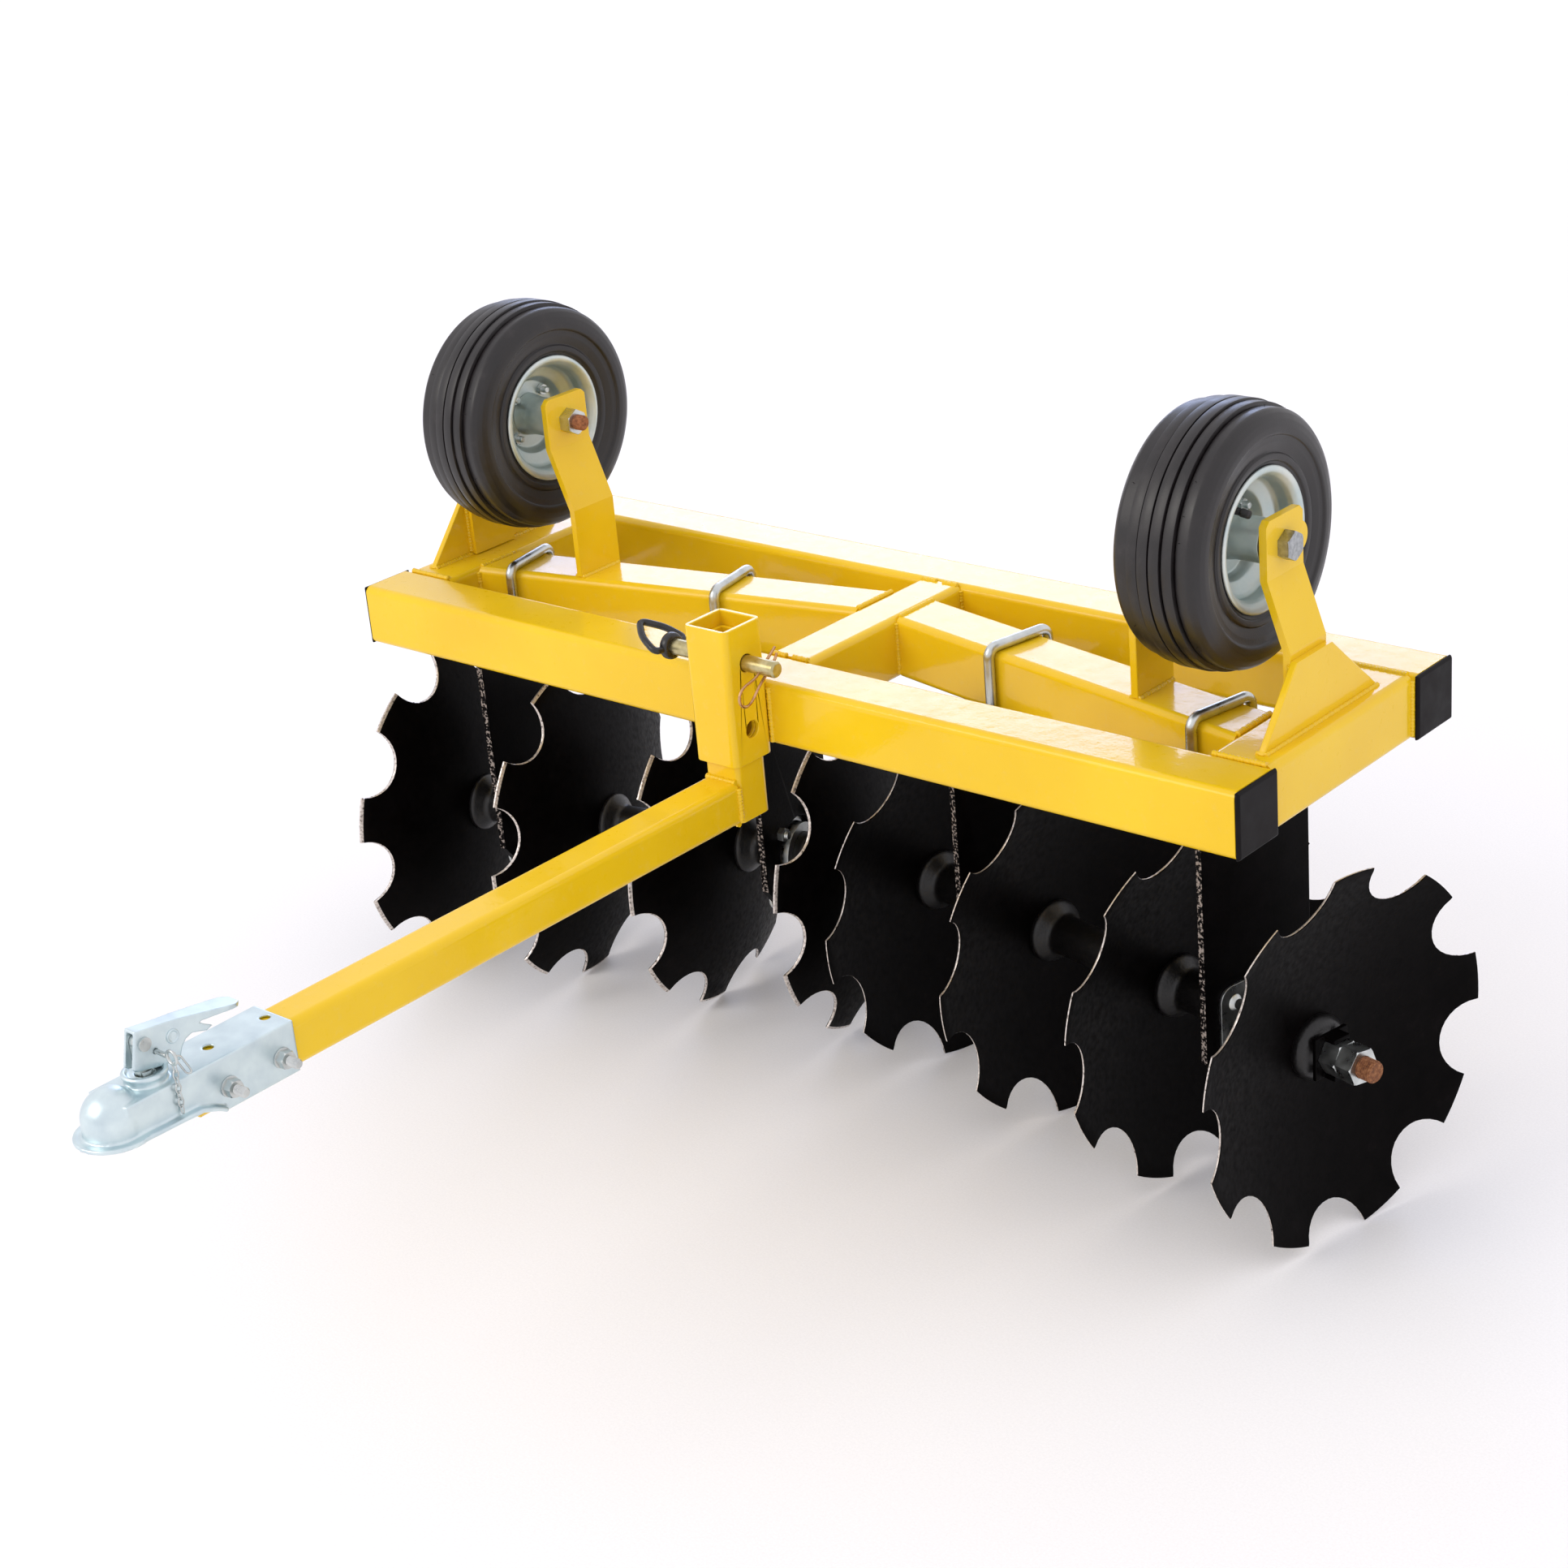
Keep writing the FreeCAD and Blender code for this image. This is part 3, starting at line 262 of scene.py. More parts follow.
gang_angle = math.radians(11.4)
slope = math.tan(gang_angle)
gang_line = 277.5  # where the two slanted tubes' middle lines would meet
beam_faces = (76.2, 357.8)
side_tube_inner, side_tube_outer, centre_tube_face = 570.2, 645.6, 31.4
gang_tube_ends = (569.8, 31.75)
gusset_outer, gusset_inner = 626.5, 617.5
flush, seam_top, seam_foot = -0.5, -6, -70


def seam(x, y):
    """An upright bead down a tube's corner."""
    return [(x, y, seam_top), (x, y, seam_foot)]


beads = []
for side in (-1, 1):
    for y in beam_faces:
        beads.append([(side * 575, y, flush), (side * 640, y, flush)])
        beads.append(seam(side * side_tube_outer, y))
        beads.append(seam(side * side_tube_inner, y))
        beads.append([(side * 5, y, flush), (side * 27, y, flush)])
        beads.append(seam(side * centre_tube_face, y))
    for x in gang_tube_ends:
        middle = gang_line - x * slope
        beads.append([(side * x, middle - 32, flush), (side * x, middle + 32, flush)])
        beads.append(seam(side * x, middle - 38.6))
        beads.append(seam(side * x, middle + 38.6))
    beads.append([(side * gusset_outer, 94, 0), (side * gusset_outer, 318, 0)])
    beads.append([(side * gusset_inner, 94, 0), (side * gusset_inner, 158, 0)])
    beads.append([(side * gusset_inner, 230, 0), (side * gusset_inner, 318, 0)])
    for y in (158.8, 229.2):
        beads.append([(side * gusset_inner, y, 4), (side * gusset_inner, y, 76)])
    for x in (416.8, 426.2):
        beads.append([(side * x, 160, 0), (side * x, 226, 0)])
    beads.append([(side * 31.6, 0.5, -6), (side * 31.6, 0.5, -72)])
    beads.append([(side * 25.6, -57.4, -110), (side * 25.6, -57.4, -150)])
beads.append([(-22, -57.6, -104.2), (22, -57.6, -104.2)])
beads.append([(-22, -57.6, -155), (22, -57.6, -155)])
beads.append([(-26, 0.4, 0.2), (26, 0.4, 0.2)])
form = bmesh.new()
for bead in beads:
    rope(form, [at(*p) for p in bead], 0.0034, ripple=0.13)
piece("weld_beads", form, enamel, "frame", crease=80)

# ---- Beam end caps ----
# Ribbed plugs of black polyethylene, injection moulded, pushed into the open ends of both beams.
# Moulded PE is semi-matt with a fine spark-eroded grain and dulls to grey at its corners.
moulded, tree, shader, place = blank("black_polyethylene", IOR=1.51, Specular_IOR_Level=0.12)
grain = mottle(tree, place, 900.0, 2.0)  # 1.1 mm spark grain
scuff = mottle(tree, place, 45.0, 5.0)  # 22 mm handling marks
spread(tree, shader, "Base Color", scuff, [(0.4, "#0d0a0b"), (0.75, "#191516")])
spread(tree, shader, "Roughness", scuff, [(0.3, 0.42), (0.7, 0.6)])
roughen(tree, shader, grain, 0.25, 0.0002)
dress(["end_caps"], moulded, 0.0012)

# ---- Zinc-plated hardware ----
# Mild steel nuts, bolts, U-bolts and pressed flanges, electroplated with bright zinc and passivated
# clear blue. The plate is a soft grey mirror with a cloudy, slightly bluish to straw-coloured cast.


def plated(name, low, high, rough, cloud=60.0):
    """Passivated zinc whose tint and gloss drift in clouds; cloud is how many fit in a metre."""
    material, tree, shader, place = blank(name, Metallic=1.0)
    cast = mottle(tree, place, cloud, 4.0)
    fine = mottle(tree, place, 700.0, 2.0)  # 1.4 mm crystals
    spread(tree, shader, "Base Color", cast, [(0.3, low), (0.7, high)])
    spread(tree, shader, "Roughness", cast, [(0.3, rough), (0.75, rough + 0.16)])
    roughen(tree, shader, fine, 0.2, 0.0002)
    return material


zinc = plated("clear_passivated_zinc", "#b9bdbc", "#d6dad8", 0.24)
dress(["hanger_u_bolts"], zinc)
dress(["hanger_u_bolt_nuts", "hanger_bearings", "bearing_fasteners", "wheel_axle_nuts", "gang_nuts_left",
       "gang_nuts_right"], zinc, 0.0006)

# The wheel axle bolts are plated too, but their cut thread ends inboard have rusted brown.
bolt_zinc, tree, shader, place = blank("zinc_with_rusty_thread_end")
split = add(tree, "SeparateXYZ", [("Vector", place)])
inboard = add(tree, "Math", [(0, split.outputs["X"])], operation="ABSOLUTE")
bloom = mottle(tree, place, 240.0, 5.0)  # 4 mm rust blooms
wander = add(tree, "Math", [(0, bloom), (1, 0.012), (2, inboard.outputs[0])],
             operation="MULTIPLY_ADD")
reach = add(tree, "MapRange", [("Value", wander.outputs[0]), ("From Min", 0.446), ("From Max", 0.440)])
rusty = grade(tree, reach.outputs[0], [(0.2, 0.0), (0.8, 1.0)])
rust = grade(tree, bloom, [(0.3, "#6e3d22"), (0.6, "#a5683f")])
plate = grade(tree, bloom, [(0.3, "#8f9294"), (0.7, "#b4b7b8")])
mixed = add(tree, "MixRGB", [("Fac", rusty), ("Color1", plate), ("Color2", rust)])
tree.links.new(mixed.outputs["Color"], shader.inputs["Base Color"])
metal = add(tree, "Math", [(0, 1.0), (1, rusty)], operation="SUBTRACT")
tree.links.new(metal.outputs[0], shader.inputs["Metallic"])
spread(tree, shader, "Roughness", rusty, [(0.0, 0.32), (1.0, 0.8)])
dress(["wheel_axle_bolts"], bolt_zinc, 0.0008)

# ---- Tyres ----
# Four-ply ribbed tyres moulded in carbon-black rubber. Five narrow grooves part six flat ribs, a
# round shoulder runs into a full sidewall, and short vent hairs still stand on the outermost ribs.


def around(r, angle, height):
    """A point about local Z from its radius, turn and height in millimetres."""
    return Vector((r * math.cos(angle) / 1000, r * math.sin(angle) / 1000, height / 1000))


def lathe(form, outline, matrix, steps=96):
    """Turns a closed outline of (radius, height) millimetres about local Z."""
    rings = []
    for k in range(steps):
        turn = k * math.tau / steps
        rings.append([form.verts.new(matrix @ around(r, turn, h)) for r, h in outline])
    count = len(outline)
    for k in range(steps):
        here, there = rings[k], rings[(k + 1) % steps]
        for i in range(count):
            j = (i + 1) % count
            if outline[i][0] or outline[j][0]:
                form.faces.new((here[i], there[i], there[j], here[j]))
    bmesh.ops.remove_doubles(form, verts=[v for ring in rings for v in ring], dist=0.000002)


def rounded(outline, radius, steps=4, closed=True):
    """The outline with each corner turned into a small curve that reaches radius along both sides."""
    soft = []
    count = len(outline)
    for i, (x, y) in enumerate(outline):
        if not closed and i in (0, count - 1):
            soft.append((x, y))
            continue
        corner = Vector((x, y))
        before, after = Vector(outline[i - 1]), Vector(outline[(i + 1) % count])
        a = corner + (before - corner).normalized() * min(radius, (before - corner).length * 0.48)
        b = corner + (after - corner).normalized() * min(radius, (after - corner).length * 0.48)
        for k in range(steps + 1):
            t = k / steps
            spot = a * (1 - t) ** 2 + corner * 2 * t * (1 - t) + b * t * t
            soft.append((spot.x, spot.y))
    return soft


rubber, tree, shader, place = blank("moulded_carbon_black_rubber", IOR=1.52)
bloom = mottle(tree, place, 38.0, 6.0, 0.65)  # 26 mm bloom
grit = mottle(tree, place, 650.0, 3.0)  # 1.5 mm mould texture
spread(tree, shader, "Base Color", bloom, [(0.3, "#110e0f"), (0.55, "#191516"), (0.8, "#2c2829")])
spread(tree, shader, "Roughness", bloom, [(0.3, 0.3), (0.8, 0.5)])
roughen(tree, shader, grit, 0.3, 0.0003)

tread_radius, groove_radius, rib_pitch = 143.9, 139.9, 14.2
crown_rate = 0.0105  # how fast the tread falls away to either side
crown = []
for k in (-2.5, -1.5, -0.5, 0.5, 1.5, 2.5):
    middle = -k * rib_pitch
    drop = crown_rate * middle * middle / 2
    crown += [(tread_radius - drop, middle + 6.2), (tread_radius - drop, middle - 6.2)]
    if k < 2.5:
        crown += [(groove_radius - drop, middle - 6.5), (groove_radius - drop, middle - 7.7)]
shoulder = [(136.2, 44.4), (132.6, 48.6), (126.4, 51.9), (119.4, 53.6), (113.4, 53.9), (111.0, 53.2),
            (110.0, 51.4), (103.0, 50.6), (95.0, 48.4), (92.0, 47.4), (90.4, 50.0), (84.0, 49.4),
            (82.4, 47.0), (76.0, 45.4)]
inside = [(68.7, -30), (86, -38), (102, -44), (118, -41), (128, -28), (131, 0), (128, 28), (118, 41),
          (102, 44), (86, 38), (68.7, 30)]
other_shoulder = [(r, -h) for r, h in shoulder]
carcass = [(68.7, 38.0)] + shoulder[::-1] + crown + other_shoulder + [(68.7, -38.0)] + inside
wheel_x, wheel_y, wheel_z = 519, 194, 192.6
wheel_spots = {"left": at(-wheel_x, wheel_y, wheel_z), "right": at(wheel_x, wheel_y, wheel_z)}
along_x = Matrix.Rotation(math.radians(90), 4, "Y")
for name, spot in wheel_spots.items():
    random.seed(name)
    form = bmesh.new()
    lathe(form, rounded(carcass, 0.9, 2), Matrix.Translation(spot) @ along_x, 160)
    for k in range(46):
        turn = random.random() * math.tau
        across = random.choice((-35.5, -21.3, -7.1, 7.1, 21.3, 35.5)) + random.uniform(-3, 3)
        base = 143.4 - 0.00525 * across * across
        out = Vector((0, math.cos(turn), math.sin(turn)))
        tip = out * 0.4 + Vector((random.uniform(-1, 1), 0, random.uniform(-1, 1))) * 0.8
        foot = spot + Vector((across, 0, 0)) / 1000 + out * (base - 1.2) / 1000
        if base < 139.5:
            rope(form, [foot, foot + out * 0.0024, foot + out * 0.0034 + tip * 0.0006], 0.00035, 5)
    piece("tyre_" + name + "_rubber", form, rubber, "wheel_" + name, ["tyre_" + name], 32)

# ---- Wheel rims and hubs ----
# Each rim is two 3 mm steel dishes pressed to one shape and bolted back to back round the hub tube,
# all bright zinc. The hub carries shielded bearings behind black seals; a rubber valve leans out.
rim_zinc = plated("pressed_zinc_rim", "#bccaca", "#dadfda", 0.4, 34.0)
seal_rubber, tree, shader, place = blank("black_nitrile_seal", IOR=1.52)
dust = mottle(tree, place, 160.0, 4.0)  # 6 mm dust patches
spread(tree, shader, "Base Color", dust, [(0.4, "#141213"), (0.8, "#2a2627")])
spread(tree, shader, "Roughness", dust, [(0.3, 0.35), (0.7, 0.55)])


def hexagon(form, flats, height, matrix):
    """A chamfered hexagonal head or nut standing on local z = 0, in millimetres."""
    reach = flats / math.sqrt(3)
    rings = []
    for share, width in ((0.0, 0.9), (0.06, 1.0), (0.86, 1.0), (1.0, 0.88)):
        ring = []
        for k in range(36):
            a = k * math.tau / 36
            side = reach * math.cos(math.pi / 6) / math.cos((a % (math.pi / 3)) - math.pi / 6)
            ring.append(form.verts.new(matrix @ around(min(side, reach * width), a, height * share)))
        rings.append(ring)
    skin_rings(form, rings)


pressed = [(24.2, 0.05), (44, 0.05), (47.5, 5), (50, 12), (57, 15.5), (63.5, 19), (68, 24.5), (68.2, 37.5),
           (71, 43), (74.6, 46.6), (78, 47.4), (78.9, 46.2), (78.3, 48.8), (75.4, 49.9), (71.5, 48.4),
           (67, 43.4), (64.9, 38.5), (64.7, 26.8), (61.2, 22.2), (54.6, 18.8), (48.4, 16), (45, 7.5),
           (42.4, 3.3), (24.2, 3.3)]
hub_tube = [(9.6, -63.4), (13.8, -63.4), (13.8, -56.6), (23.9, -54.6), (23.9, -20), (26.5, -4), (26.5, -3.6),
            (23.9, -3.4), (23.9, 3.4), (26.5, 3.6), (26.5, 4), (23.9, 20), (23.9, 54.6), (13.8, 56.6),
            (13.8, 63.4), (9.6, 63.4)]
for name, spot in wheel_spots.items():
    body = "wheel_" + name
    frame_of_wheel = Matrix.Translation(spot) @ along_x
    other_way = frame_of_wheel @ Matrix.Rotation(math.pi, 4, "X")
    form = bmesh.new()
    for turn in (frame_of_wheel, other_way):
        lathe(form, rounded(pressed, 1.6, 3), turn, 96)
    piece("rim_" + name + "_dishes", form, rim_zinc, body, ["rim_halves_" + name], 50)
    form = bmesh.new()
    for k in range(4):
        a = math.radians(45 + 90 * k)
        seat = Matrix.Translation((0.036 * math.cos(a), 0.036 * math.sin(a), 0.0035))
        for face, height in ((frame_of_wheel, 5.3), (other_way, 6.5)):
            hexagon(form, 13, height, face @ seat)
            lathe(form, rounded([(0, 0), (4, 0), (4, 11), (3.2, 12), (0, 12)], 0.4, 2), face @ seat, 20)
    piece("rim_" + name + "_bolts", form, zinc, body)
    form = bmesh.new()
    lathe(form, rounded(hub_tube, 0.7, 3), frame_of_wheel, 64)
    piece("hub_" + name + "_tube", form, rim_zinc, body, ["wheel_hub_" + name], 35)
    form = bmesh.new()
    for end in (-1, 1):
        seal = [(10.2, 58.8), (17, 59), (21.6, 57.6), (22.6, 55), (22.6, 54), (10.2, 54.6)]
        lathe(form, rounded([(r, end * h) for r, h in seal], 0.9, 3), frame_of_wheel, 48)
    piece("hub_" + name + "_seals", form, seal_rubber, body, crease=60)
    # Local +Z is the machine's right, so the left wheel's valve also leans towards the outside.
    outward = frame_of_wheel if name == "right" else other_way
    round_to = math.radians(220 if name == "right" else 200)
    form = bmesh.new()
    lean = Matrix.Translation((0.0585, 0, 0.021)) @ Matrix.Rotation(math.radians(-16), 4, "Y")
    stem = outward @ Matrix.Rotation(round_to, 4, "Z") @ lean
    valve = [(0, -3), (7.4, -3), (7.4, 0.5), (5.6, 3), (4.4, 9), (3.9, 22), (4.6, 22.6), (4.7, 31),
             (3.9, 33), (0, 33)]
    lathe(form, rounded(valve, 0.7, 3), stem, 28)
    piece("valve_" + name, form, seal_rubber, body)

# ---- Disc blades ----
# Nine-notch blades pressed from 4 mm boron steel and spray-painted black over mill scale. Paint is
# thin and uneven, with a mottled sheen. The sheared edges are bare steel coloured pale as a painted
# highlight.
blade_paint, tree, shader, place = blank("black_paint_on_mill_scale", IOR=1.5)
scale = mottle(tree, place, 34.0, 7.0, 0.68)  # 30 mm scale
spots = mottle(tree, place, 150.0, 4.0)  # 7 mm pits and runs
spread(tree, shader, "Base Color", scale, [(0.35, "#030202"), (0.6, "#070505"), (0.8, "#120e0f")])
spread(tree, shader, "Roughness", spots, [(0.3, 0.3), (0.7, 0.52)])
shader.inputs["Specular IOR Level"].default_value = 0.04
relief = add(tree, "Math", [(0, scale), (1, 2.0), (2, spots)], operation="MULTIPLY_ADD")
roughen(tree, shader, relief.outputs[0], 0.35, 0.0005)
# The sheared edges are partly bare steel and partly a painted highlight along the rim.
bare_steel_edge_highlight, tree, shader, place = blank("bare_steel_with_painted_edge_highlight", Metallic=0.7)
nicks = mottle(tree, place, 320.0, 5.0)  # 3 mm nicks and paint flakes
# This pale cream-white ramp paints the edge highlight into the colour.
spread(tree, shader, "Base Color", nicks, [(0.3, "#3b3330"), (0.42, "#c4bbb5"), (0.7, "#ebe4de")])
spread(tree, shader, "Roughness", nicks, [(0.36, 0.55), (0.6, 0.3)])

hubs = [37.5 + 206.7 * k for k in range(4)]  # where the four discs sit along the axle
axle_turn = 24.5  # degrees that the square axles happen to stand turned by
cos_gang, sin_gang = math.cos(gang_angle), math.sin(gang_angle)
blade_radius, flat_radius, dish_depth, blade_plate = 215, 45, 45, 4
notch_centre, notch_radius, notches = 221, 46, 9
plain_radius = 166  # inside this radius the blade is round; outside it the rows follow the notches


def gang_frame(side, along, turn):
    """Local Z runs outward along the gang's axle, local X is up; along in millimetres, turn in degrees."""
    out = Vector((side * cos_gang, -sin_gang, 0))
    up = Vector((0, 0, 1))
    axes = Matrix((up, out.cross(up), out)).transposed().to_4x4()
    spot = Matrix.Translation(at(0, gang_line, -355) + out * along / 1000)
    return spot @ axes @ Matrix.Rotation(math.radians(turn), 4, "Z")


def dish(r):
    """How far the blade has curved away from its flat middle at radius r."""
    flat = flat_radius * flat_radius
    return max(0.0, (r * r - flat)) / (blade_radius * blade_radius - flat) * dish_depth


def blade(form, matrix):
    """One notched blade; its sheared edge keeps the second material slot."""
    edge = []
    tooth_turn = 360 // notches
    cosine = (blade_radius ** 2 + notch_centre ** 2 - notch_radius ** 2) / (2 * blade_radius * notch_centre)
    reach = math.degrees(math.acos(cosine))
    start = math.degrees(math.asin(blade_radius * math.sin(math.radians(reach)) / notch_radius))
    for tooth in range(notches):
        for k in range(15):
            a = math.radians(-start + k * 2 * start / 14)
            x, y = notch_centre - notch_radius * math.cos(a), notch_radius * math.sin(a)
            edge.append((math.hypot(x, y), math.atan2(y, x) + math.radians(tooth_turn * tooth)))
        for k in range(1, 6):
            along_tooth = tooth_turn * tooth + reach + k * (tooth_turn - 2 * reach) / 6
            edge.append((float(blade_radius), math.radians(along_tooth)))
    shares = (0.0, 0.35, 0.7, 0.94, 1.0)
    layers = []
    for face in (0, 1):
        rows = [[form.verts.new(matrix @ around(r, t, dish(r) + blade_plate * face)) for _, t in edge]
                for r in (20, 45, 62, 82, 104, 126, 148)]
        for share in shares:
            row = []
            for rim_r, t in edge:
                r = plain_radius + (rim_r - plain_radius) * share
                lift = blade_plate * face
                if share == 1.0:
                    lift = 2.9 if face else 1.1
                row.append(form.verts.new(matrix @ around(r, t, dish(r) + lift)))
            rows.append(row)
        layers.append(rows)
    count = len(edge)
    for rows in layers:
        for low, high in zip(rows, rows[1:]):
            for k in range(count):
                made = form.faces.new((low[k], low[(k + 1) % count], high[(k + 1) % count], high[k]))
                made.material_index = 1 if high is rows[-1] and rows is layers[0] else 0
    for end, index in ((0, 0), (-1, 1)):
        a, b = layers[0][end], layers[1][end]
        for k in range(count):
            form.faces.new((a[k], a[(k + 1) % count], b[(k + 1) % count], b[k])).material_index = index


quarters = {"left": (0, 3, 2, 0), "right": (2, 2, 0, 0)}  # each blade slid on at its own quarter turn
for name, side in (("left", -1), ("right", 1)):
    for number, quarter in enumerate(quarters[name]):
        form = bmesh.new()
        blade(form, gang_frame(side, hubs[number], -side * (axle_turn + 90 * quarter)))
        label = "disc_%s_%d" % (name, number + 1)
        made = piece(label + "_blade", form, blade_paint, "gang_" + name, [label], 40)
        made.data.materials.append(bare_steel_edge_highlight)

# ---- Gang spools, end washers, axles and nuts ----
# Sand-cast iron spools with a turned journal at each bearing, painted black with the castings'
# pebbled skin showing. A square axle bar clamps the stack; its rolled thread end has rusted orange.
cast, tree, shader, place = blank("painted_sand_cast_iron", IOR=1.5)
pebble = mottle(tree, place, 420.0, 4.0)  # 2.4 mm sand grain
spread(tree, shader, "Base Color", pebble, [(0.3, "#060505"), (0.75, "#121010")])
spread(tree, shader, "Roughness", pebble, [(0.3, 0.28), (0.7, 0.44)])
roughen(tree, shader, pebble, 0.45, 0.0006)


def spool_outline(outline, radius=5.0):
    """A spool's side from (height, radius) corners, rounded, and closed along the axle's surface."""
    side = rounded([(r, h) for h, r in outline], radius, 5, closed=False)
    return [(18.4, outline[0][0])] + side + [(18.4, outline[-1][0])]


for name, side in (("left", -1), ("right", 1)):
    turned = gang_frame(side, 0, -side * axle_turn)
    body = "gang_" + name
    form = bmesh.new()
    castings = [[(20.1, 30), (24, 37.9), (hubs[0], 37.9)],
                [(hubs[1] + 4, 37.9), (hubs[1] + 9, 37.9), (hubs[1] + 22, 24), (hubs[2] - 18, 24),
                 (hubs[2] - 5, 37.9), (hubs[2], 37.9)]]
    for inner, outer, middle in ((hubs[0] + 4, hubs[1], 184.0), (hubs[2] + 4, hubs[3], 584.0)):
        castings.append([(inner, 37.9), (inner + 5, 37.9), (inner + 18, 24), (middle - 32, 24),
                         (middle - 31, 25.9), (middle, 25.9)])
        castings.append([(middle, 25.9), (middle + 31, 25.9), (middle + 32, 24), (outer - 18, 24),
                         (outer - 5, 37.9), (outer, 37.9)])
    for outline in castings:
        lathe(form, spool_outline(outline), turned, 56)
    piece("gang_spools_%s_castings" % name, form, cast, body, ["gang_spools_" + name], 40)
    form = bmesh.new()
    end = hubs[3] + 4
    washer = [(end, 37.9), (end + 6, 37.9), (end + 13, 33), (end + 16, 24), (end + 18.9, 22)]
    lathe(form, spool_outline(washer, 3.0), turned, 64)
    piece("gang_end_washer_%s_casting" % name, form, cast, body,
          ["gang_end_washer_" + name], 40)
rust_steel, tree, shader, place = blank("rust_bloomed_bar", Metallic=0.25)
bloom = mottle(tree, place, 260.0, 6.0, 0.7)  # 4 mm blooms
spread(tree, shader, "Base Color", bloom, [(0.3, "#4a2a18"), (0.5, "#83502e"), (0.72, "#ad7f56")])
spread(tree, shader, "Roughness", bloom, [(0.3, 0.6), (0.7, 0.85)])
roughen(tree, shader, bloom, 0.5, 0.0004)


def thread(form, radius, pitch, start, end, matrix, sides=36):
    """A cut screw thread along local Z, its crests at radius, closed by a chamfered end."""
    rings = []
    count = round((end - start) / (pitch / 6))
    for i in range(count + 1):
        h = start + (end - start) * i / count
        ring = []
        for k in range(sides):
            phase = (h / pitch - k / sides) % 1.0
            r = radius - 0.55 * pitch * abs(2 * phase - 1)
            r = min(r, radius - 1.6 + max(0.0, end - h) * 0.9)
            ring.append(form.verts.new(matrix @ around(r, k * math.tau / sides, h)))
        rings.append(ring)
    skin_rings(form, rings)


for name, side in (("left", -1), ("right", 1)):
    turned = gang_frame(side, 0, -side * axle_turn)
    form = bmesh.new()
    thread(form, 12.6, 2.6, 684, 747.8, turned)
    square = [(0, 20), (17.8, 20), (17.8, 684.5), (0, 684.5)]
    lathe(form, square, turned @ Matrix.Rotation(math.pi / 4, 4, "Z"), 4)
    piece("gang_axle_%s_bar" % name, form, rust_steel, "gang_" + name, ["gang_axle_" + name], 28)
    form = bmesh.new()
    lathe(form, rounded([(0, 6.1), (17, 6.1), (23.9, 9.5), (23.9, 19.9), (0, 19.9)], 1.5, 4), turned, 40)
    piece("gang_axle_%s_head" % name, form, cast, "gang_" + name)
dress(["gang_lock_plate_left", "gang_lock_plate_right"], blade_paint, 0.001)

# ---- Hangers ----
# Flame-cut 9 mm plate folded to a shelf at the top and painted black. The cut edges were left rough as
# they came off the torch; the speckled pale line painted along them is a painted highlight.
plate_paint_and_edge_highlight, tree, shader, place = blank("black_plate_paint_with_painted_edge_highlight", IOR=1.5)
shader.inputs["Specular IOR Level"].default_value = 0.04
facing = add(tree, "SeparateXYZ", [("Vector", add(tree, "TexCoord").outputs["Normal"])])
flat_face = add(tree, "Math", [(0, facing.outputs["X"])], operation="ABSOLUTE")
upright = add(tree, "Math", [(0, facing.outputs["Z"])], operation="ABSOLUTE")
flat_or_shelf = add(tree, "Math", [(0, flat_face.outputs[0]), (1, upright.outputs[0])], operation="MAXIMUM")
cut_edge = grade(tree, flat_or_shelf.outputs[0], [(0.3, 1.0), (0.5, 0.0)])
# These flecks roughen the surface and also speckle the painted highlight on the cut edges.
flecks = mottle(tree, place, 300.0, 5.0)  # 3 mm torch flecks
fleck = grade(tree, flecks, [(0.5, 0.0), (0.6, 0.75)])
edge_highlight_mask = add(tree, "Math", [(0, cut_edge), (1, fleck)], operation="MULTIPLY")
coat = grade(tree, mottle(tree, place, 40.0, 5.0), [(0.35, "#040303"), (0.8, "#0d0a0b")])  # 25 mm drifts
# The pale colour on the cut edges is a painted highlight.
mixed = add(tree, "MixRGB", [("Fac", edge_highlight_mask.outputs[0]), ("Color1", coat), ("Color2", linear("#b0a49c"))])
tree.links.new(mixed.outputs["Color"], shader.inputs["Base Color"])
spread(tree, shader, "Roughness", flecks, [(0.3, 0.32), (0.7, 0.5)])
roughen(tree, shader, flecks, 0.3, 0.0004)
dress(["hanger_left_outer", "hanger_left_inner", "hanger_right_inner", "hanger_right_outer"],
      plate_paint_and_edge_highlight, 0.001)

# ---- Hitch pin, its handle and clip ----
# A 19 mm turned pin in yellow chromated zinc, with a round head and a loop of heavy wire both dipped
# in black vinyl, kept in by a springy hairpin clip of copper-washed wire.
gold = plated("yellow_chromated_zinc", "#a79a6a", "#cfc59b", 0.26, 110.0)
copper = plated("copper_washed_spring_wire", "#b98a5e", "#d9b08a", 0.24, 150.0)
vinyl, tree, shader, place = blank("dipped_black_vinyl", IOR=1.53)
drips = mottle(tree, place, 130.0, 3.0)  # 8 mm dip sags
spread(tree, shader, "Base Color", drips, [(0.3, "#100f11"), (0.75, "#211f22")])
spread(tree, shader, "Roughness", drips, [(0.3, 0.22), (0.75, 0.36)])
roughen(tree, shader, drips, 0.3, 0.0006)


def bent(points, bend, steps=6):
    """A closed run of points whose corners are drawn as curves reaching bend along each side."""
    line = []
    count = len(points)
    for i, corner in enumerate(points):
        before, after = points[i - 1], points[(i + 1) % count]
        a = corner + (before - corner).normalized() * bend
        b = corner + (after - corner).normalized() * bend
        for k in range(steps + 1):
            t = k / steps
            line.append(a * (1 - t) ** 2 + corner * 2 * t * (1 - t) + b * t * t)
    return line + line[:1]


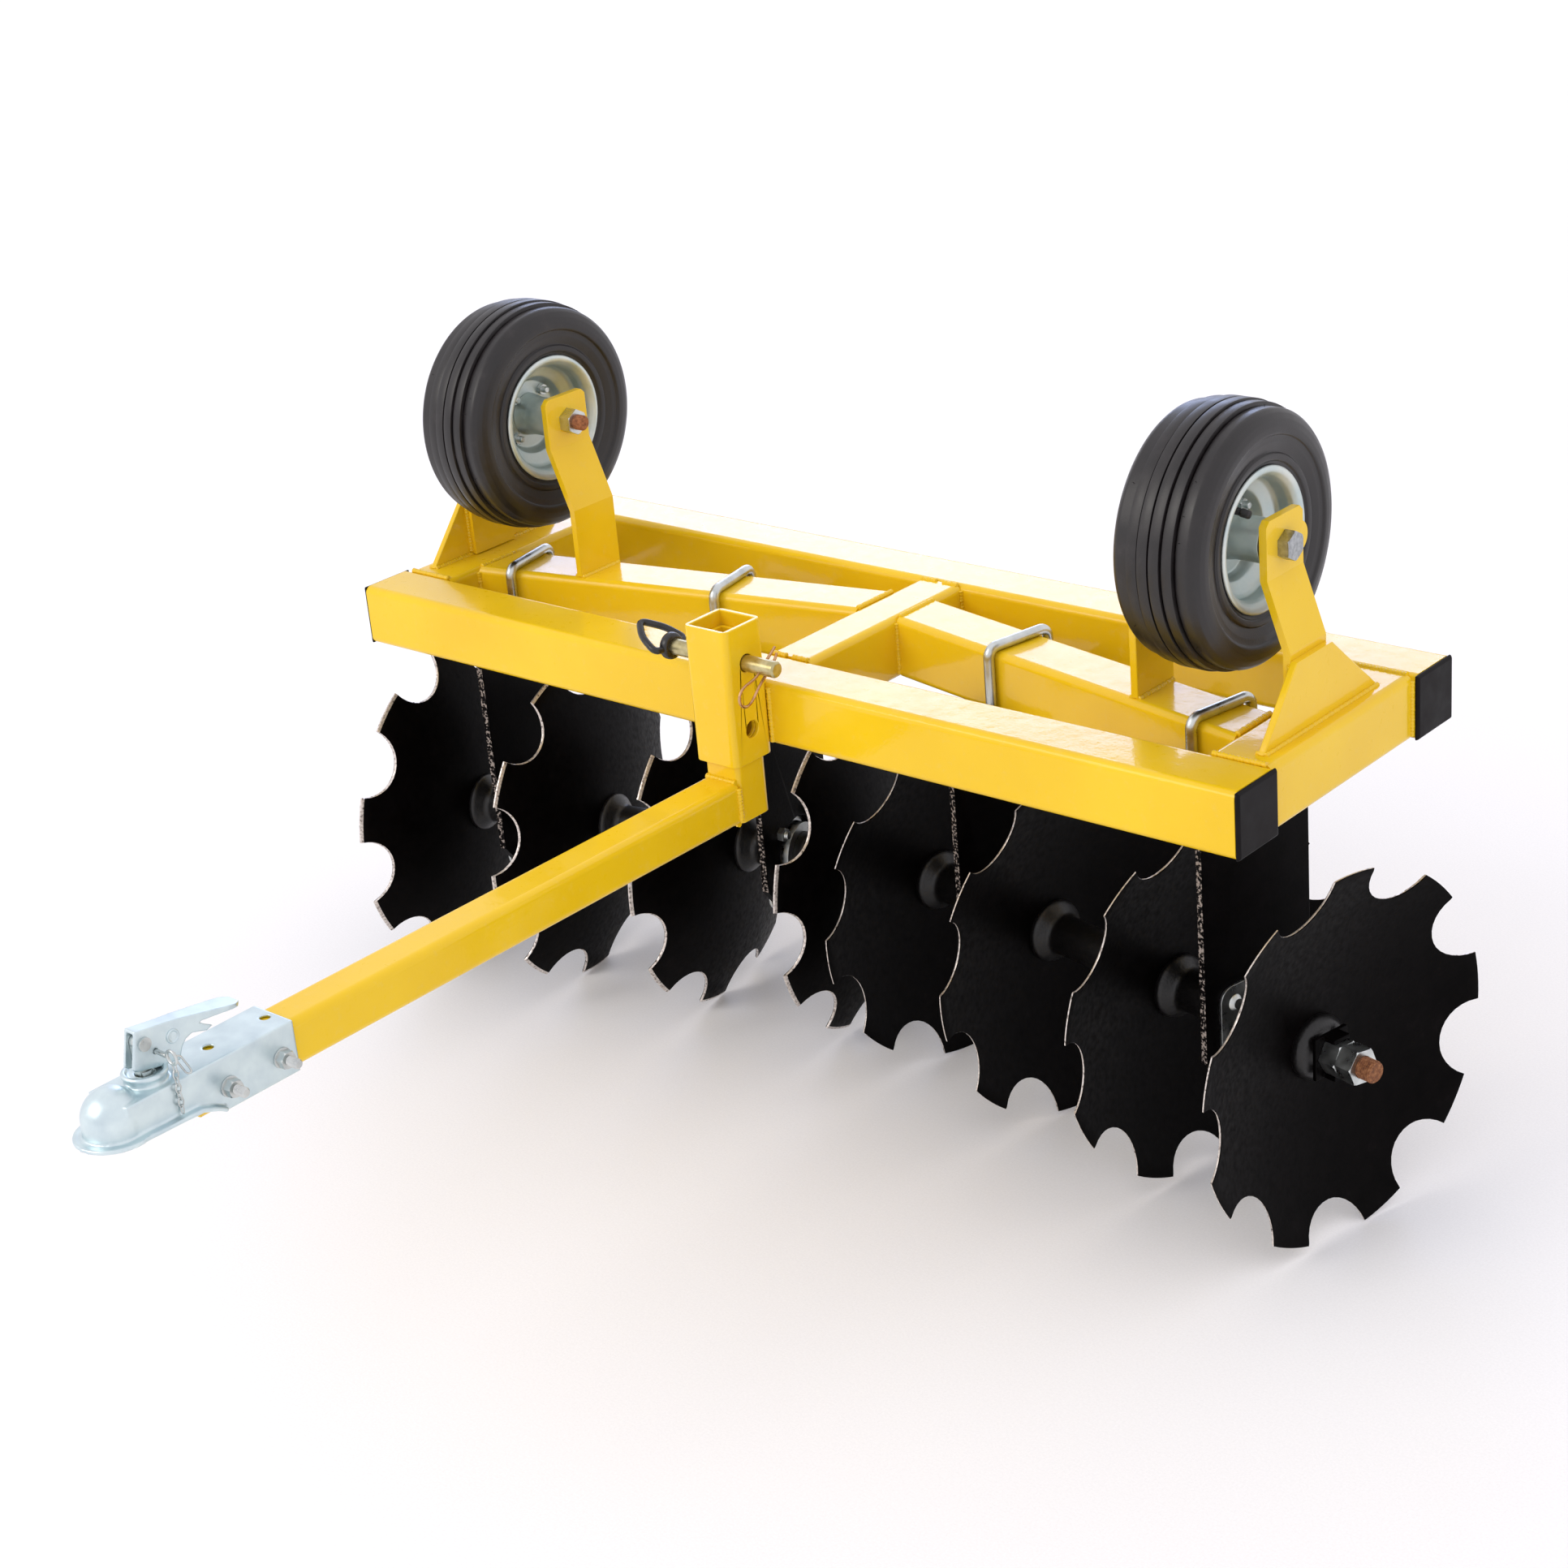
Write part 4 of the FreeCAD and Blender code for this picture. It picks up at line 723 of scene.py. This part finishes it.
pin_frame = Matrix.Translation(at(0, -31.75, 35)) @ along_x
form = bmesh.new()
lathe(form, rounded([(0, -80), (9.45, -80), (9.45, 75.5), (7.4, 77.8), (0, 77.8)], 0.5, 3), pin_frame, 40)
piece("hitch_pin_shank", form, gold, "hitch_pin", ["hitch_pin"])
form = bmesh.new()
head = [(0, -89.9), (10, -89.9), (15.9, -87), (15.9, -79), (12.5, -76.2), (0, -76.2)]
lathe(form, rounded(head, 4.0, 6), pin_frame, 40)
piece("hitch_pin_head", form, vinyl, "hitch_pin")
form = bmesh.new()
loop = [(0, -26, 0), (0, 26, 0), (-26, 19, 12), (-47, 0, 22), (-26, -19, 12)]
rope(form, bent([at(x - 83, y - 31.75, z + 35) for x, y, z in loop], 0.0105), 0.0041, 16)
piece("hitch_pin_loop", form, vinyl, "hitch_pin", ["hitch_pin_handle"], 60)
dress(["hairpin_clip"], copper)

# ---- Ball coupler ----
# A one-piece coupler drawn from 3.6 mm steel sheet, with a domed ball socket, a rolled skirt and a
# channel over the drawbar, all bright zinc. A folded lever draws up the stud and ball clamp.
coupler_zinc = plated("drawn_coupler_zinc", "#c6d6dc", "#dae8ea", 0.3, 45.0)


def softened(name, voxel, rounds, extra=None):
    """A CAD node's shape, joined with any extra forms, remeshed and smoothed like drawn sheet."""
    form = bmesh.new()
    form.from_mesh(nodes[name].data)
    if extra:
        extra(form)
    rough = bpy.data.meshes.new(name + "_rough")
    form.to_mesh(rough)
    form.free()
    holder = bpy.data.objects.new(name + "_rough", rough)
    bpy.context.collection.objects.link(holder)
    weld = holder.modifiers.new("join", "WELD")
    weld.merge_threshold = 0.00002
    remesh = holder.modifiers.new("remesh", "REMESH")
    remesh.mode = "VOXEL"
    remesh.voxel_size = voxel
    smooth = holder.modifiers.new("smooth", "SMOOTH")
    smooth.factor = 0.5
    smooth.iterations = rounds
    seen = holder.evaluated_get(bpy.context.evaluated_depsgraph_get())
    form = bmesh.new()
    form.from_mesh(seen.to_mesh())
    seen.to_mesh_clear()
    bpy.data.objects.remove(holder)
    return form


def rolled_skirt(form):
    """The skirt's rolled edge, round the nose and back along both sides to a curled-down end."""
    sides = [(-817.5, -151), (-822, -148.2), (-828, -145), (-845, -138.6), (-880, -137.4), (-915, -136.4)]
    nose_radius = 37.2
    nose = [math.radians(turn) for turn in range(-75, 76, 15)]
    line = [at(-36.2, y, z) for y, z in sides]
    line += [at(nose_radius * math.sin(a), -921 - nose_radius * math.cos(a), -136) for a in nose]
    line += [at(36.2, y, z) for y, z in reversed(sides)]
    rope(form, line, 0.0026, 10)
    collar_radius = 20.3
    turns = [k * math.tau / 32 for k in range(33)]
    collar = [at(collar_radius * math.cos(t), -877 + collar_radius * math.sin(t), -91.4) for t in turns]
    rope(form, collar, 0.003, 10)


form = softened("coupler_body", 0.0012, 5, rolled_skirt)
piece("coupler_shell", form, coupler_zinc, "frame", ["coupler_body"], 180)
form = softened("coupler_lever", 0.0009, 3)
for side in (-1, 1):
    outward = Matrix.Rotation(math.radians(90 * side), 4, "Y")
    dimple = [(0, -0.6), (7.4, -0.6), (7.4, 0.9), (6.4, 1.7), (5.0, 1.1), (4.6, 0.3), (0, 0.2)]
    lathe(form, rounded(dimple, 0.5, 3), Matrix.Translation(at(side * 7.9, -844.5, -66.5)) @ outward, 36)
piece("coupler_lever_folded", form, coupler_zinc, "coupler_lever", ["coupler_lever"], 60)
dress(["coupler_lever_pin", "ball_clamp", "safety_pin"], zinc, 0.0004)

# The safety pin's short keeper chain and wire clip hang from its eye.
form = bmesh.new()
eye = Vector((31.6, -865.5, -73))
for k in range(7):
    middle = eye + Vector((1.5, 0, -10.5 - 7.4 * k))
    wide = Vector((0, 3, 0)) if k % 2 else Vector((2.6, 0, 0))
    tall = Vector((0, 0, 5))
    ring = [middle + wide * math.cos(t) + tall * math.sin(t) for t in (n * math.tau / 20 for n in range(21))]
    rope(form, [at(*p) for p in ring], 0.0008, 8)
clip = [(0, 7), (3.4, 4), (3.4, -18), (0, -21), (-3.4, -18), (-3.4, 4)]
slant = [eye + Vector((0.5, 8 + y * 0.95 - z * 0.42, -6 + z * 0.9)) for y, z in clip]
rope(form, bent([at(*p) for p in slant], 0.003), 0.001, 10)
piece("safety_pin_chain", form, zinc, "safety_pin", crease=60)

form = bmesh.new()
for y in (-740, -806):
    bolt = Matrix.Translation(at(0, y, -133)) @ along_x
    thread(form, 5.35, 1.4, 25, 55.2, bolt, 24)
    hexagon(form, 17, 10.6, bolt @ Matrix.Translation((0, 0, 0.0296)) @ Matrix.Rotation(0.3, 4, "Z"))
    lathe(form, rounded([(0, 29.4), (10.8, 29.4), (10.8, 31), (0, 31)], 0.4, 2), bolt, 32)
    hexagon(form, 17, 6.8, bolt @ Matrix.Translation((0, 0, -0.0294)) @ Matrix.Rotation(math.pi, 4, "X"))
    lathe(form, [(0, -30), (5.2, -30), (5.2, 26), (0, 26)], bolt, 24)
piece("coupler_bolts_and_nuts", form, zinc, "frame", ["coupler_fasteners"])
